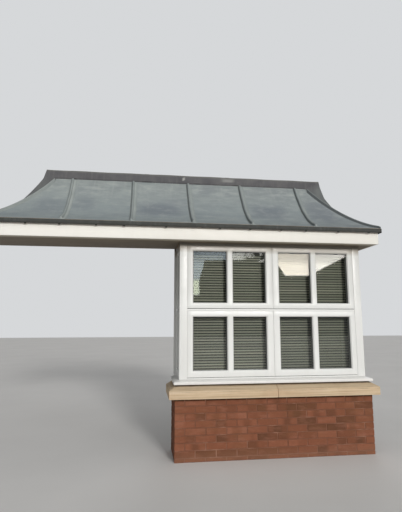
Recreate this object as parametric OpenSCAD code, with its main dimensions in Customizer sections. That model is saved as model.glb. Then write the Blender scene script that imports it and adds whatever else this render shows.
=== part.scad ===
// Square bay window with a brick apron, stone sill, white casement frames
// and a swept, hipped lead canopy that runs on past the bay to the left.
// Frame: Z up, ground at z = 0, X along the wall, the room behind at +Y.
// The wall plane that the bay joins is at y = canopy_d / 2.

/* [Canopy] */
// Overall length of the canopy along the wall, over the lead drips
canopy_w = 4470; // [4200:10:4800]
// Projection of the canopy from the wall plane, over the lead drip
canopy_d = 685; // [660:5:720]
// Height of the lead surface at the eave above the ground
eave_z = 2535; // [2500:5:2600]
// Rise of the swept roof from the eave to the wall
roof_rise = 659; // [560:1:720]
// Share of the rise that is straight, the rest is swept
sweep_straight = 0.3; // [0.15:0.05:0.9]
// Horizontal run of each hip measured along the wall
hip_run = 640; // [560:5:700]
// Vertical thickness of the boarded roof deck
deck_t = 28; // [20:1:34]
// Vertical thickness of the lead covering
lead_t = 5; // [4:0.5:8]
// Outward bulge of each hip in plan, which gives the end slopes their own sweep
hip_bulge = 50; // [0:1:60]
// Place of the first roll from the left, from the middle of the canopy
roll_1 = -1393; // [-1450:1:-1300]
// Place of the second roll
roll_2 = -659; // [-760:1:-560]
// Place of the third roll
roll_3 = 23; // [-60:1:100]
// Place of the fourth roll
roll_4 = 693; // [600:1:800]
// Place of the fifth roll
roll_5 = 1433; // [1300:1:1480]
// Width of a lead roll
roll_w = 34; // [30:1:50]
// Height of a lead roll above the sheet
roll_h = 28; // [20:1:40]
// Height of the fascia board, seen below the drip
fascia_h = 151; // [140:1:160]
// Set-back of the fascia face behind the drip
fascia_back = 33; // [25:1:45]
// Width of the cover flashing on the wall above the roof
flash_w = 118; // [90:1:150]
// Overhang of its upper right corner past the end of the roof
flash_corner_r = 184; // [100:1:200]
// Width of the cover flashing along the left end slope
flash_left_w = 122; // [80:1:150]
// Width of the cover flashing along the right end slope
flash_right_w = 138; // [80:1:150]

/* [Bay window] */
// Offset of the bay's middle from the canopy's middle
bay_x = 962.5; // [900:0.5:980]
// Width of the window over its corner posts
win_w = 2145; // [2100:5:2180]
// Projection of the window's outer face from the wall plane
win_d = 486; // [470:1:500]
// Height of the underside of the frames above the ground
win_z = 834; // [830:1:840]
// Height of the frames
win_h = 1515; // [1500:1:1515]
// Side of a square corner post
post_w = 87; // [80:1:95]
// Width of a glazing bar between two panes
bar_w = 70.6; // [60:0.1:80]
// Visible width of a pane of glass
pane_w = 384; // [375:1:390]
// Width of the cover strip where the window's side meets the wall
trim_w = 28; // [20:1:35]

/* [Apron and sill] */
// Width of the brick apron
base_w = 2240; // [2215:1:2245]
// Projection of the brick apron from the wall plane
base_d = 533; // [525:1:540]
// Height of the brick apron
base_h = 644; // [625:1:650]
// Overhang of the stone sill beyond the brick face
sill_over = 65; // [50:1:75]
// Height of the stone sill
sill_h = 144; // [140:1:150]
// Height of the sill's upright face
sill_face = 87; // [70:1:100]
// Overhang of the white cill beyond the frames
cill_over = 59; // [45:1:62]

/* [Hidden] */

brick_t = 102.5;
cavity_t = 60;
block_t = 100;
plaster_t = 13;
drip_t = 3;
deck_hw = canopy_w / 2 - drip_t;   // half width of the boarded deck
deck_d = canopy_d - drip_t;        // its projection
top_hw = deck_hw - hip_run;        // half width at the wall
steps = 14;
board_gap = 1.5;                   // between the boards of the deck
wx = bay_x - win_w / 2;            // left outer face of the window
bx = bay_x - base_w / 2;           // left face of the apron
fas_y = -(canopy_d - fascia_back); // front face of the fascia
fas_x = canopy_w / 2 - fascia_back + 2;
fas_t = 18;
head_z = win_z + win_h;            // top of the frames = underside of the soffit
beam_top = eave_z - deck_t - lead_t - 2;
frame_w = (win_w - 2 * post_w) / 2;
sash_gap = 2.5;
pane_x1 = 154.3 - 87;              // frame edge to the first pane
low_z0 = 18; low_z1 = 743;         // lower sash, measured from win_z
top_z0 = 766; top_z1 = win_h - 29; // upper sash
low_g0 = 91; low_g1 = 676.2;       // lower panes
top_g0 = 832.8; top_g1 = win_h - 96.2;
side_w = win_d - post_w;           // width of a side window
mort = 4;

// height of the lead above the eave for s = 0 at the eave and 1 at the wall
function rise(s) = roof_rise * (sweep_straight * s + (1 - sweep_straight) * s * s);

// distance of the hip from the middle of the canopy at that height
function hip_x(s) = deck_hw - hip_run * s + hip_bulge * (2 * s * (1 - s) + 3.5 * s * (1 - s) * (1 - s));

// the hip's plan at step i, and the unit direction across it
function hip_at(i) = [hip_x(i / steps), -deck_d * (1 - i / steps)];
function hip_across(i) = let (t = hip_at(min(i + 1, steps)) - hip_at(max(i - 1, 0))) [-t[1], t[0]] / norm(t);

// moves the wall plane from y = 0 to its place in the finished frame
module place() { translate([0, canopy_d / 2, 0]) children(); }

// a box from its two corners
module bar(a, b) { translate(a) cube(b - a); }

// profile in (y, z), extruded along X from x0 to x1
module along_x(x0, x1, pts) { translate([x0, 0, 0]) rotate([90, 0, 90]) linear_extrude(x1 - x0) polygon(pts); }

// profile in (x, z), extruded along Y from y0 to y1
module along_y(y0, y1, pts) { translate([0, y1, 0]) rotate([90, 0, 0]) linear_extrude(y1 - y0) polygon(pts); }

// ---- roof shapes -------------------------------------------------------

// a band under and over the swept surface of the front slope
module front_band(x0, x1, lo, hi) {
  along_x(x0, x1, concat(
    [for (i = [0:steps]) [-deck_d * (1 - i / steps), eave_z + rise(i / steps) + hi]],
    [for (i = [steps:-1:0]) [-deck_d * (1 - i / steps), eave_z + rise(i / steps) + lo]]));
}

// the same on the right end slope
module end_band(y0, y1, lo, hi) {
  along_y(y0, y1, concat(
    [for (i = [0:steps]) [hip_x(i / steps), eave_z + rise(i / steps) + hi]],
    [for (i = [steps:-1:0]) [hip_x(i / steps), eave_z + rise(i / steps) + lo]]));
}

// plan of the front slope, kept g clear of the hips
module front_plan(g) {
  translate([0, 0, eave_z - 400]) linear_extrude(1600) polygon(concat(
    [for (i = [0:steps]) [hip_at(i)[0] - g, hip_at(i)[1]]],
    [for (i = [steps:-1:0]) [g - hip_at(i)[0], hip_at(i)[1]]]));
}

// plan of the right end slope
module end_plan(g) {
  translate([0, 0, eave_z - 400]) linear_extrude(1600)
    polygon(concat([for (i = [0:steps]) [hip_at(i)[0] + g, hip_at(i)[1]]], [[deck_hw + g + 1, 0]]));
}

// everything under the two slopes that meet at the right hip, raised by h
module under_roof(h) {
  base = eave_z - 400;
  intersection() {
    along_x(0, canopy_w, concat([[1, base], [-deck_d - 20, base], [-deck_d - 20, eave_z + h]],
      [for (i = [0:steps]) [-deck_d * (1 - i / steps), eave_z + rise(i / steps) + h]], [[1, eave_z + roof_rise + h]]));
    along_y(-canopy_d - 20, 1, concat([[top_hw - 200, base], [deck_hw + 20, base], [deck_hw + 20, eave_z + h]],
      [for (i = [0:steps]) [hip_x(i / steps), eave_z + rise(i / steps) + h]], [[top_hw - 200, eave_z + roof_rise + h]]));
  }
}

// a ridge along the right hip from step i0 to i1, between heights lo and hi over the slopes
module hip_band(w, lo, hi, i0, i1) {
  difference() {
    intersection() {
      under_roof(hi);
      translate([0, 0, eave_z - 300]) linear_extrude(1400) polygon(concat(
        [for (i = [i0:i1]) hip_at(i) + hip_across(i) * w / 2],
        [for (i = [i1:-1:i0]) hip_at(i) - hip_across(i) * w / 2]));
    }
    under_roof(lo);
  }
}

module both_ends() { children(); mirror([1, 0, 0]) children(); }

// ---- casements ---------------------------------------------------------

// one sash with its panes: panes is a list of [left, right], local frame with
// X along the wall, Z up and Y the depth from the outer face
module sash(x0, x1, z0, z1, panes, g0, g1) {
  difference() {
    union() {
      bar([x0 + sash_gap, 0, z0 + sash_gap], [x1 - sash_gap, 18, z1 - sash_gap]);
      bar([x0 + 47, 17, z0 + 47], [x1 - 47, 66, z1 - 47]);
    }
    for (p = panes) {
      bar([p[0], -1, g0], [p[1], 67, g1]);
      bar([p[0] - 12, 24, g0 - 12], [p[1] + 12, 54, g1 + 12]);
    }
  }
}

// two sheets of a sealed unit in a rebate
module unit(p, g0, g1) {
  bar([p[0] - 9, 27, g0 - 9], [p[1] + 9, 31, g1 + 9]);
  bar([p[0] - 9, 47, g0 - 9], [p[1] + 9, 51, g1 + 9]);
}

// fixed frame behind two sashes, w wide, with its transom
module fixed_frame(w) {
  difference() {
    bar([0, 20, 0], [w, 70, win_h]);
    bar([44, 19, low_z0 + 43], [w - 44, 71, low_z1 - 43]);
    bar([44, 19, top_z0 + 43], [w - 44, 71, top_z1 - 43]);
  }
  bar([0, 2, 0], [w, 20, low_z0]);
  bar([0, 2, low_z1], [w, 20, top_z0]);
  bar([0, 2, top_z1], [w, 20, win_h]);
}

// panes of one front frame; mirrored frames share the wider meeting stile
front_panes = [[pane_x1, pane_x1 + pane_w], [pane_x1 + pane_w + bar_w, pane_x1 + 2 * pane_w + bar_w]];
side_panes = [[pane_x1, side_w - pane_x1]];

module at_front_left() { place() translate([wx + post_w, -win_d, win_z]) children(); }
module at_front_right() { place() translate([wx + win_w - post_w, -win_d, win_z]) mirror([1, 0, 0]) children(); }
module at_side_left() { place() translate([wx, 0, win_z]) rotate([0, 0, -90]) children(); }
module at_side_right() { place() translate([wx + win_w, -side_w, win_z]) rotate([0, 0, 90]) children(); }

module side_window() {
  difference() {
    union() {
      fixed_frame(side_w);
      bar([sash_gap, 17, low_z0 + sash_gap], [44, 21, top_z1 - sash_gap]);
      bar([side_w - 44, 17, low_z0 + sash_gap], [side_w - sash_gap, 21, top_z1 - sash_gap]);
      sash(0, side_w, low_z0, low_z1, side_panes, low_g0, low_g1);
      sash(0, side_w, top_z0, top_z1, side_panes, top_g0, top_g1);
      bar([44, 20, low_z0 + 30], [48, 66, top_z1 - 30]);
      bar([side_w - 48, 20, low_z0 + 30], [side_w - 44, 66, top_z1 - 30]);
      bar([44, 20, low_z1 - 48], [side_w - 44, 66, low_z1 - 42]);
      bar([44, 20, top_z0 + 42], [side_w - 44, 66, top_z0 + 48]);
      bar([44, 20, low_z0 + 42], [side_w - 44, 66, low_z0 + 48]);
      bar([44, 20, top_z1 - 48], [side_w - 44, 66, top_z1 - 42]);
    }
    for (g = [[low_g0, low_g1], [top_g0, top_g1]]) {
      bar([side_panes[0][0], -1, g[0]], [side_panes[0][1], 71, g[1]]);
      bar([side_panes[0][0] - 12, 24, g[0] - 12], [side_panes[0][1] + 12, 54, g[1] + 12]);
    }
  }
}

// ---- apron -------------------------------------------------------------

module brick_front_wall() {
  color([0.55, 0.29, 0.20]) place()
    bar([bx, -base_d, 0], [bx + base_w, -base_d + brick_t, base_h]);
}

module brick_side_walls() {
  color([0.52, 0.27, 0.19]) place() for (x = [bx, bx + base_w - brick_t])
    bar([x, -base_d + brick_t, 0], [x + brick_t, 0, base_h]);
}

inner_x0 = bx + brick_t + cavity_t;
inner_x1 = bx + base_w - brick_t - cavity_t;
inner_y = -base_d + brick_t + cavity_t;

module inner_leaf_front() {
  color([0.66, 0.66, 0.64]) place()
    bar([inner_x0, inner_y, 0], [inner_x1, inner_y + block_t, win_z - 1]);
}

module inner_leaf_sides() {
  color([0.66, 0.66, 0.64]) place() for (x = [inner_x0, inner_x1 - block_t])
    bar([x, inner_y + block_t, 0], [x + block_t, 0, win_z - 1]);
}

module plaster_lining() {
  color([0.90, 0.88, 0.83]) place() {
    bar([inner_x0 + block_t + plaster_t + 0.5, inner_y + block_t, 150],
        [inner_x1 - block_t - plaster_t - 0.5, inner_y + block_t + plaster_t, win_z - 1]);
    for (x = [inner_x0 + block_t, inner_x1 - block_t - plaster_t])
      bar([x, inner_y + block_t, 150], [x + plaster_t, 0, win_z - 1]);
  }
}

module floor_slab() {
  color([0.60, 0.59, 0.57]) place()
    bar([inner_x0 + block_t, inner_y + block_t, 0], [inner_x1 - block_t, 0, 150]);
}

// section of the stone sill: o is the outward distance, z up
function sill_pts(back, front) = [
  [back, base_h], [front - 34, base_h], [front - 34, base_h + 9], [front - 22, base_h + 9], [front - 22, base_h],
  [front, base_h], [front, base_h + sill_face], [front - 98, base_h + sill_h], [back, base_h + sill_h]];

sill_f = base_d + sill_over;
sill_x0 = bx - sill_over;
sill_x1 = bx + base_w + sill_over;
sill_b = base_d - brick_t;

module stone_sill_front() {
  color([0.80, 0.70, 0.55]) place() intersection() {
    for (r = [[sill_x0, bay_x - mort / 2], [bay_x + mort / 2, sill_x1]])
      along_x(r[0], r[1], [for (p = sill_pts(sill_b, sill_f)) [-p[0], p[1]]]);
    translate([0, 0, base_h - 10]) linear_extrude(sill_h + 20)
      polygon([[sill_x0, -sill_f], [sill_x1, -sill_f], [bx + base_w - brick_t, -sill_b], [bx + brick_t, -sill_b]]);
  }
}

module stone_sill_returns() {
  color([0.79, 0.69, 0.54]) place() for (m = [0, 1]) translate([m == 0 ? bx : bx + base_w, 0, 0]) mirror([m, 0, 0])
    intersection() {
      along_y(-sill_f, 0, [for (p = sill_pts(-brick_t, sill_over)) [-p[0], p[1]]]);
      translate([0, 0, base_h - 10]) linear_extrude(sill_h + 20)
        polygon([[-sill_over, -sill_f + 2], [-sill_over, 0], [brick_t, 0], [brick_t, -sill_b + 2]]);
    }
}

// section of the white cill, measured outwards from the frame's face
function cill_pts() = [
  [-70, base_h + sill_h], [44, base_h + sill_h], [44, base_h + sill_h + 5], [52, base_h + sill_h + 5], [52, base_h + sill_h],
  [cill_over, base_h + sill_h], [cill_over, base_h + sill_h + 25], [cill_over - 4, base_h + sill_h + 29],
  [0, win_z - 1], [-70, win_z - 1]];

module white_cill_front() {
  color([0.95, 0.95, 0.94]) place() intersection() {
    along_x(wx - cill_over, wx + win_w + cill_over, [for (p = cill_pts()) [-win_d - p[0], p[1]]]);
    translate([0, 0, base_h]) linear_extrude(400)
      polygon([[wx - cill_over, -win_d - cill_over], [wx + win_w + cill_over, -win_d - cill_over],
        [wx + win_w - 70, -win_d + 70], [wx + 70, -win_d + 70]]);
  }
}

module white_cill_returns() {
  color([0.94, 0.94, 0.93]) place() for (m = [0, 1]) translate([m == 0 ? wx : wx + win_w, 0, 0]) mirror([m, 0, 0])
    intersection() {
      along_y(-win_d - cill_over, 0, [for (p = cill_pts()) [-p[0], p[1]]]);
      translate([0, 0, base_h]) linear_extrude(400)
        polygon([[-cill_over, -win_d - cill_over + 1], [-cill_over, 0], [70, 0], [70, -win_d + 71]]);
    }
}

// ---- window ------------------------------------------------------------

module corner_posts() {
  color([0.96, 0.96, 0.96]) place() for (x = [wx, wx + win_w - post_w])
    bar([x, -win_d, win_z], [x + post_w, -win_d + post_w, head_z]);
}

module wall_trims() {
  color([0.94, 0.94, 0.94]) place() for (x = [wx - trim_w, wx + win_w])
    bar([x, -10, win_z], [x + trim_w, 0, head_z]);
}

module front_frame_left() { color([0.93, 0.93, 0.93]) at_front_left() fixed_frame(frame_w); }
module front_frame_right() { color([0.93, 0.93, 0.93]) at_front_right() fixed_frame(frame_w); }
module top_sash_left() { color([0.97, 0.97, 0.97]) at_front_left() sash(0, frame_w, top_z0, top_z1, front_panes, top_g0, top_g1); }
module top_sash_right() { color([0.97, 0.97, 0.97]) at_front_right() sash(0, frame_w, top_z0, top_z1, front_panes, top_g0, top_g1); }
module bottom_sash_left() { color([0.97, 0.97, 0.97]) at_front_left() sash(0, frame_w, low_z0, low_z1, front_panes, low_g0, low_g1); }
module bottom_sash_right() { color([0.97, 0.97, 0.97]) at_front_right() sash(0, frame_w, low_z0, low_z1, front_panes, low_g0, low_g1); }
module side_window_left() { color([0.93, 0.93, 0.94]) at_side_left() side_window(); }
module side_window_right() { color([0.93, 0.93, 0.94]) at_side_right() side_window(); }

module front_units() { for (p = front_panes) { unit(p, low_g0, low_g1); unit(p, top_g0, top_g1); } }
module side_units() { for (p = side_panes) { unit(p, low_g0, low_g1); unit(p, top_g0, top_g1); } }
module glass_front_left() { color([0.55, 0.65, 0.68, 0.5]) at_front_left() front_units(); }
module glass_front_right() { color([0.55, 0.65, 0.68, 0.5]) at_front_right() front_units(); }
module glass_sides() { color([0.55, 0.65, 0.68, 0.5]) { at_side_left() side_units(); at_side_right() side_units(); } }

blind_y = -win_d + post_w + 7;
module blind_left() {
  color([0.55, 0.54, 0.46]) place() bar([wx + 92, blind_y, win_z + 34], [bay_x - 6, blind_y + 40, head_z - 1]);
}
module blind_right() {
  color([0.55, 0.54, 0.46]) place() bar([bay_x + 6, blind_y, win_z + 34], [wx + win_w - 92, blind_y + 40, head_z - 1]);
}

board_in = inner_y + block_t + plaster_t + 22;   // nose of the board, inside the room
module window_board_front() {
  color([0.95, 0.94, 0.92]) place()
    bar([wx + 71, -win_d + 71, win_z - 1], [wx + win_w - 71, board_in, win_z + 24]);
}
module window_board_sides() {
  color([0.95, 0.94, 0.92]) place() {
    bar([wx + 71, board_in + 0.5, win_z - 1], [inner_x0 + block_t + plaster_t + 22, 0, win_z + 24]);
    bar([inner_x1 - block_t - plaster_t - 22, board_in + 0.5, win_z - 1], [wx + win_w - 71, 0, win_z + 24]);
  }
}

// ---- head of the bay and canopy ---------------------------------------

module head_beams() {
  color([0.76, 0.62, 0.43]) place() {
    bar([wx, -win_d, head_z], [wx + win_w, -win_d + 90, beam_top]);
    bar([wx, -win_d + 92, head_z], [wx + 90, 0, beam_top]);
    bar([wx + win_w - 90, -win_d + 92, head_z], [wx + win_w, 0, beam_top]);
  }
}

module fascia_front() {
  color([0.93, 0.92, 0.87]) place()
    bar([-fas_x, fas_y, head_z], [fas_x, fas_y + fas_t, head_z + fascia_h]);
}

module fascia_ends() {
  color([0.92, 0.91, 0.86]) place() both_ends()
    bar([fas_x - fas_t, fas_y + fas_t, head_z], [fas_x, 0, head_z + fascia_h]);
}

module soffit_boards() {
  color([0.90, 0.89, 0.85]) place() {
    bar([-fas_x + fas_t, fas_y + fas_t, head_z], [wx - 1, 0, head_z + 9]);
    bar([wx + 1, fas_y + fas_t, head_z], [fas_x - fas_t, -win_d - 1, head_z + 9]);
    bar([wx + win_w + 1, -win_d + 1, head_z], [fas_x - fas_t, 0, head_z + 9]);
  }
}

module bay_ceiling() {
  color([0.94, 0.94, 0.92]) place()
    bar([wx + 91, -win_d + 91, head_z], [wx + win_w - 91, 0, head_z + 12.5]);
}

module eave_beams() {
  color([0.74, 0.60, 0.41]) place() {
    bar([-fas_x + fas_t, fas_y + fas_t, head_z + 9], [fas_x - fas_t, fas_y + fas_t + 45, beam_top]);
    both_ends() bar([fas_x - fas_t - 45, fas_y + fas_t + 46, head_z + 9], [fas_x - fas_t, 0, beam_top]);
  }
}

plate_top = eave_z + rise(1 - 50 / deck_d) - deck_t - lead_t - 4;
module wall_plates() {
  color([0.72, 0.58, 0.40]) place() {
    bar([-fas_x + fas_t + 46, -50, beam_top - 60], [wx - 1, 0, beam_top]);
    bar([wx + 91, -50, beam_top - 60], [wx + win_w - 91, 0, beam_top]);
    bar([wx + win_w + 1, -50, beam_top - 60], [fas_x - fas_t - 46, 0, beam_top]);
    bar([-top_hw, -50, plate_top - 95], [top_hw, 0, plate_top]);
  }
}

module roof_formers() {
  color([0.80, 0.66, 0.46]) place() for (x = roll_x)
    intersection() {
      along_x(x - 9, x + 9, concat([[0, beam_top]], [[-deck_d, beam_top]],
        [for (i = [0:steps]) [-deck_d * (1 - i / steps), eave_z + rise(i / steps) - deck_t - lead_t]]));
      bar([x - 10, fas_y + fas_t, beam_top], [x + 10, -51, eave_z + roof_rise]);
    }
}

module hip_rafters() {
  color([0.78, 0.64, 0.45]) place() both_ends() hip_band(38, -deck_t - lead_t - 100, -deck_t - lead_t - 32, 4, 13);
}

// one board of the deck, from step i at a to step i + 1 at b, in (across, up):
// its upper edge keeps a gap to the next board
function board_pts(a, b, i) = let (
    t = 1 - board_gap / abs(b - a), e = a + (b - a) * t,
    za = eave_z + rise(i / steps) - lead_t,
    zb = eave_z + rise(i / steps) * (1 - t) + rise((i + 1) / steps) * t - lead_t)
  [[a, za - deck_t], [e, zb - deck_t], [e, zb], [a, za]];

module roof_deck_front() {
  color([0.75, 0.63, 0.46]) place() intersection() {
    for (i = [0:steps - 1]) along_x(-deck_hw, deck_hw, board_pts(hip_at(i)[1], hip_at(i + 1)[1], i));
    front_plan(0.5);
  }
}

module roof_deck_ends() {
  color([0.74, 0.62, 0.45]) place() both_ends() intersection() {
    for (i = [0:steps - 1]) along_y(-deck_d, 0, board_pts(hip_at(i)[0], hip_at(i + 1)[0], i));
    end_plan(0.5);
  }
}

// lead bays, parted under each roll
roll_x = [roll_1, roll_2, roll_3, roll_4, roll_5];
module lead_sheets() {
  color([0.56, 0.60, 0.61]) place() {
    intersection() {
      difference() {
        front_band(-deck_hw, deck_hw, -lead_t, 0);
        for (x = roll_x) bar([x - 2, -deck_d - 1, eave_z - 100], [x + 2, 1, eave_z + roof_rise + 100]);
      }
      front_plan(2);
    }
    both_ends() intersection() { end_band(-deck_d, 0, -lead_t, 0); end_plan(2); }
  }
}

module lead_rolls() {
  color([0.45, 0.49, 0.50]) place() {
    intersection() {
      union() for (x = roll_x) front_band(x - roll_w / 2, x + roll_w / 2, 0, roll_h);
      bar([-canopy_w / 2, -canopy_d, 0], [canopy_w / 2, -7, 2 * eave_z]);
    }
    both_ends() intersection() {
      hip_band(roll_w, 0, roll_h, 0, steps);
      bar([0, -canopy_d, 0], [canopy_w / 2, -7, 2 * eave_z]);
    }
  }
}

drip_h = 56;
module drip_edge() {
  color([0.28, 0.30, 0.29]) place() {
    bar([-canopy_w / 2, -canopy_d, eave_z - drip_h], [canopy_w / 2, -canopy_d + drip_t, eave_z - lead_t]);
    both_ends() bar([canopy_w / 2 - drip_t, -canopy_d + drip_t + 0.5, eave_z - drip_h], [canopy_w / 2, 0, eave_z - lead_t]);
  }
}

// small clips that hold the turned-down lead against the deck's edge
clip_x = [-2070, -1747, -1400, -1024, -731, -280, 317, 660, 1017, 1312, 1700, 2070];
module edge_clips() {
  color([0.22, 0.23, 0.23]) place() for (x = clip_x)
    bar([x - 12, -canopy_d + drip_t, eave_z - drip_h - 9], [x + 12, -canopy_d + drip_t + 2, eave_z - deck_t - lead_t - 1]);
}

// outer edge of a flashing w wide beside the end slope, at step i
function flash_at(i, w) = let (
    a = [hip_x((i - 1) / steps), rise((i - 1) / steps)], b = [hip_x((i + 1) / steps), rise((i + 1) / steps)],
    t = (b - a) / norm(b - a))
  [hip_x(i / steps) + w * t[1], eave_z + rise(i / steps) - w * t[0]];

// the flashing beside the right end slope, w wide, with its upper corner c past the roof
module flash_end(w, c) {
  top_z = eave_z + roof_rise + flash_w - 10;
  intersection() {
    along_y(-6, 0, concat(
      [for (i = [0:steps]) [hip_x(i / steps), eave_z + rise(i / steps)]],
      [[top_hw, top_z], [top_hw + c, top_z]],
      [for (i = [steps - 1:-1:0]) flash_at(i, w + max(0, c - flash_w) * max(0, i / steps - 0.8) * 5.2)]));
    bar([0, -10, eave_z - 50], [canopy_w / 2, 1, top_z + 1]);
  }
}

module cover_flashing() {
  color([0.34, 0.35, 0.38]) place() {
    bar([-top_hw + 1, -6, eave_z + roof_rise], [top_hw - 1, 0, eave_z + roof_rise + flash_w - 10]);
    flash_end(flash_right_w, flash_corner_r);
    mirror([1, 0, 0]) flash_end(flash_left_w, flash_w);
  }
}

brick_front_wall();
brick_side_walls();
inner_leaf_front();
inner_leaf_sides();
plaster_lining();
floor_slab();
stone_sill_front();
stone_sill_returns();
white_cill_front();
white_cill_returns();
corner_posts();
wall_trims();
front_frame_left();
front_frame_right();
top_sash_left();
bottom_sash_left();
top_sash_right();
bottom_sash_right();
side_window_left();
side_window_right();
glass_front_left();
glass_front_right();
glass_sides();
blind_left();
blind_right();
window_board_front();
window_board_sides();
head_beams();
fascia_front();
fascia_ends();
soffit_boards();
bay_ceiling();
eave_beams();
wall_plates();
roof_formers();
hip_rafters();
roof_deck_front();
roof_deck_ends();
lead_sheets();
lead_rolls();
drip_edge();
edge_clips();
cover_flashing();
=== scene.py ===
import math
import random

import bmesh
import bpy
import numpy as np
from mathutils import Matrix, Vector


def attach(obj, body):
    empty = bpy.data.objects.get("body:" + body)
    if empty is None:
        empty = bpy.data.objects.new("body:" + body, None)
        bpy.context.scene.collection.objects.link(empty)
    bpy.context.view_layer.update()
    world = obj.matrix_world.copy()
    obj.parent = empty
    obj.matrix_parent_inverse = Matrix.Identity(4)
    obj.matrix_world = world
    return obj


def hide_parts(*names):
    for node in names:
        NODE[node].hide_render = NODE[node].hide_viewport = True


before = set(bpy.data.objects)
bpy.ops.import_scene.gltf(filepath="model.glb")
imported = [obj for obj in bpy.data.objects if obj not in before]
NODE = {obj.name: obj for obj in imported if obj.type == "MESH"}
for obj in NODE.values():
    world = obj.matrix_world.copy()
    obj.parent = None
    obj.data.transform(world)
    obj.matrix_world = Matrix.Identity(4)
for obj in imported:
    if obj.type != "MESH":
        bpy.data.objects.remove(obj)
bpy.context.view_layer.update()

# ---------------------------------------------------------------- sizes (mm)
# Wall frame: x along the wall from the canopy's middle, y = 0 at the wall plane
# and negative towards the street, z up from the ground.
CAN_W, CAN_D, DRIP_T = 4470.0, 685.0, 3.0
EAVE, RISE, SWEEP, HIP_RUN = 2535.0, 659.0, 0.3, 640.0
DECK_HW, DECK_D = CAN_W / 2 - DRIP_T, CAN_D - DRIP_T
TOP_HW = DECK_HW - HIP_RUN
LEAD_T, DECK_T, FLASH_W, FLASH_END, FLASH_CORNER = 5.0, 28.0, 118.0, (122.0, 138.0), 184.0
HIP_BULGE = 50.0
ROLL_X = (-1393.0, -659.0, 23.0, 693.0, 1433.0)
ROLL_W, ROLL_H = 34.0, 28.0
DRIP_H = 56.0
BAY_X, WIN_W, WIN_D, WIN_Z, WIN_H = 962.5, 2145.0, 486.0, 834.0, 1515.0
POST, BAR_W, PANE_W, PANE_X1 = 87.0, 70.6, 384.0, 67.3
WX = BAY_X - WIN_W / 2
FRAME_W = (WIN_W - 2 * POST) / 2
SIDE_W = WIN_D - POST
GAP = 2.5
LOW_Z0, LOW_Z1, TOP_Z0, TOP_Z1 = 18.0, 743.0, 766.0, WIN_H - 29
LOW_G, TOP_G = (91.0, 676.2), (832.8, WIN_H - 96.2)
FRONT_PANES = [(PANE_X1, PANE_X1 + PANE_W), (PANE_X1 + PANE_W + BAR_W, PANE_X1 + 2 * PANE_W + BAR_W)]
SIDE_PANES = [(PANE_X1, SIDE_W - PANE_X1)]
BASE_W, BASE_D, BASE_H = 2240.0, 533.0, 644.0
BX = BAY_X - BASE_W / 2
BRICK_T, CAVITY, BLOCK_T = 102.5, 60.0, 100.0
HEAD_Z = WIN_Z + WIN_H
FAS_Y, FAS_X, FAS_T, FAS_H = -(CAN_D - 33.0), CAN_W / 2 - 31.0, 18.0, 151.0


def W(p):
    """Wall millimetres to the row frame in metres."""
    return (p[0] / 1000.0, p[1] / 1000.0 + CAN_D / 2000.0, p[2] / 1000.0)


def rise(s):
    return RISE * (SWEEP * s + (1 - SWEEP) * s * s)


def drise(s):
    return RISE * (SWEEP + 2 * (1 - SWEEP) * s)


def hip_x(s):
    """Distance of the hip from the middle of the canopy."""
    return DECK_HW - HIP_RUN * s + HIP_BULGE * (2 * s * (1 - s) + 3.5 * s * (1 - s) ** 2)


def dhip(s):
    return -HIP_RUN + HIP_BULGE * (2 - 4 * s + 3.5 * ((1 - s) ** 2 - 2 * s * (1 - s)))


def end_height(x):
    """Height of the end slope at a distance x from the middle."""
    lo, hi = 0.0, 1.0
    for _ in range(40):
        mid = (lo + hi) / 2
        if hip_x(mid) > x:
            lo = mid
        else:
            hi = mid
    return EAVE + rise((lo + hi) / 2)


def front_height(y):
    return EAVE + rise(min(1.0, max(0.0, 1 + y / DECK_D)))


# ---------------------------------------------------------------- mesh tools
class Mesh:
    """Collects vertices in wall millimetres, faces, face materials and point values."""

    def __init__(self):
        self.v, self.f, self.m = [], [], []
        self.a = {}

    def add(self, verts, faces, mat=0, **values):
        base = len(self.v)
        self.v.extend(verts)
        self.f.extend([[i + base for i in face] for face in faces])
        self.m.extend([mat] * len(faces))
        for name, value in values.items():
            col = self.a.setdefault(name, {})
            if hasattr(value, "__len__"):
                for i, x in enumerate(value):
                    col[base + i] = float(x)
            else:
                for i in range(len(verts)):
                    col[base + i] = float(value)
        return base

    def make(self, name, mats, node=None, slot=None, smooth=None, rows=None):
        me = bpy.data.meshes.new(name)
        me.from_pydata([W(p) for p in self.v], [], self.f)
        for k, col in self.a.items():
            at = me.attributes.new(k, "FLOAT", "POINT")
            arr = np.zeros(len(self.v), np.float32)
            for i, x in col.items():
                arr[i] = x
            at.data.foreach_set("value", arr)
        for mt in mats:
            me.materials.append(mt)
        me.polygons.foreach_set("material_index", np.array(self.m, np.int32))
        bm = bmesh.new()
        bm.from_mesh(me)
        bmesh.ops.recalc_face_normals(bm, faces=bm.faces)
        bm.to_mesh(me)
        bm.free()
        shade(me, smooth)
        ob = bpy.data.objects.new(name, me)
        bpy.context.scene.collection.objects.link(ob)
        return seat(ob, node)


def shade(me, smooth):
    if smooth:
        me.polygons.foreach_set("use_smooth", [True] * len(me.polygons))
        me.set_sharp_from_angle(angle=math.radians(smooth))
    else:
        me.polygons.foreach_set("use_smooth", [False] * len(me.polygons))
    me.update()


def seat(ob, node):
    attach(ob, "root")
    if node:
        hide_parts(*([node] if isinstance(node, str) else node))
    return ob


def box_faces():
    return [[0, 3, 2, 1], [4, 5, 6, 7], [0, 1, 5, 4], [1, 2, 6, 5], [2, 3, 7, 6], [3, 0, 4, 7]]


def add_box(ms, a, b, mat=0, tf=None, **values):
    v = [(a[0], a[1], a[2]), (b[0], a[1], a[2]), (b[0], b[1], a[2]), (a[0], b[1], a[2]),
         (a[0], a[1], b[2]), (b[0], a[1], b[2]), (b[0], b[1], b[2]), (a[0], b[1], b[2])]
    if tf:
        v = [tf(p) for p in v]
    return ms.add(v, box_faces(), mat, **values)


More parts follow.
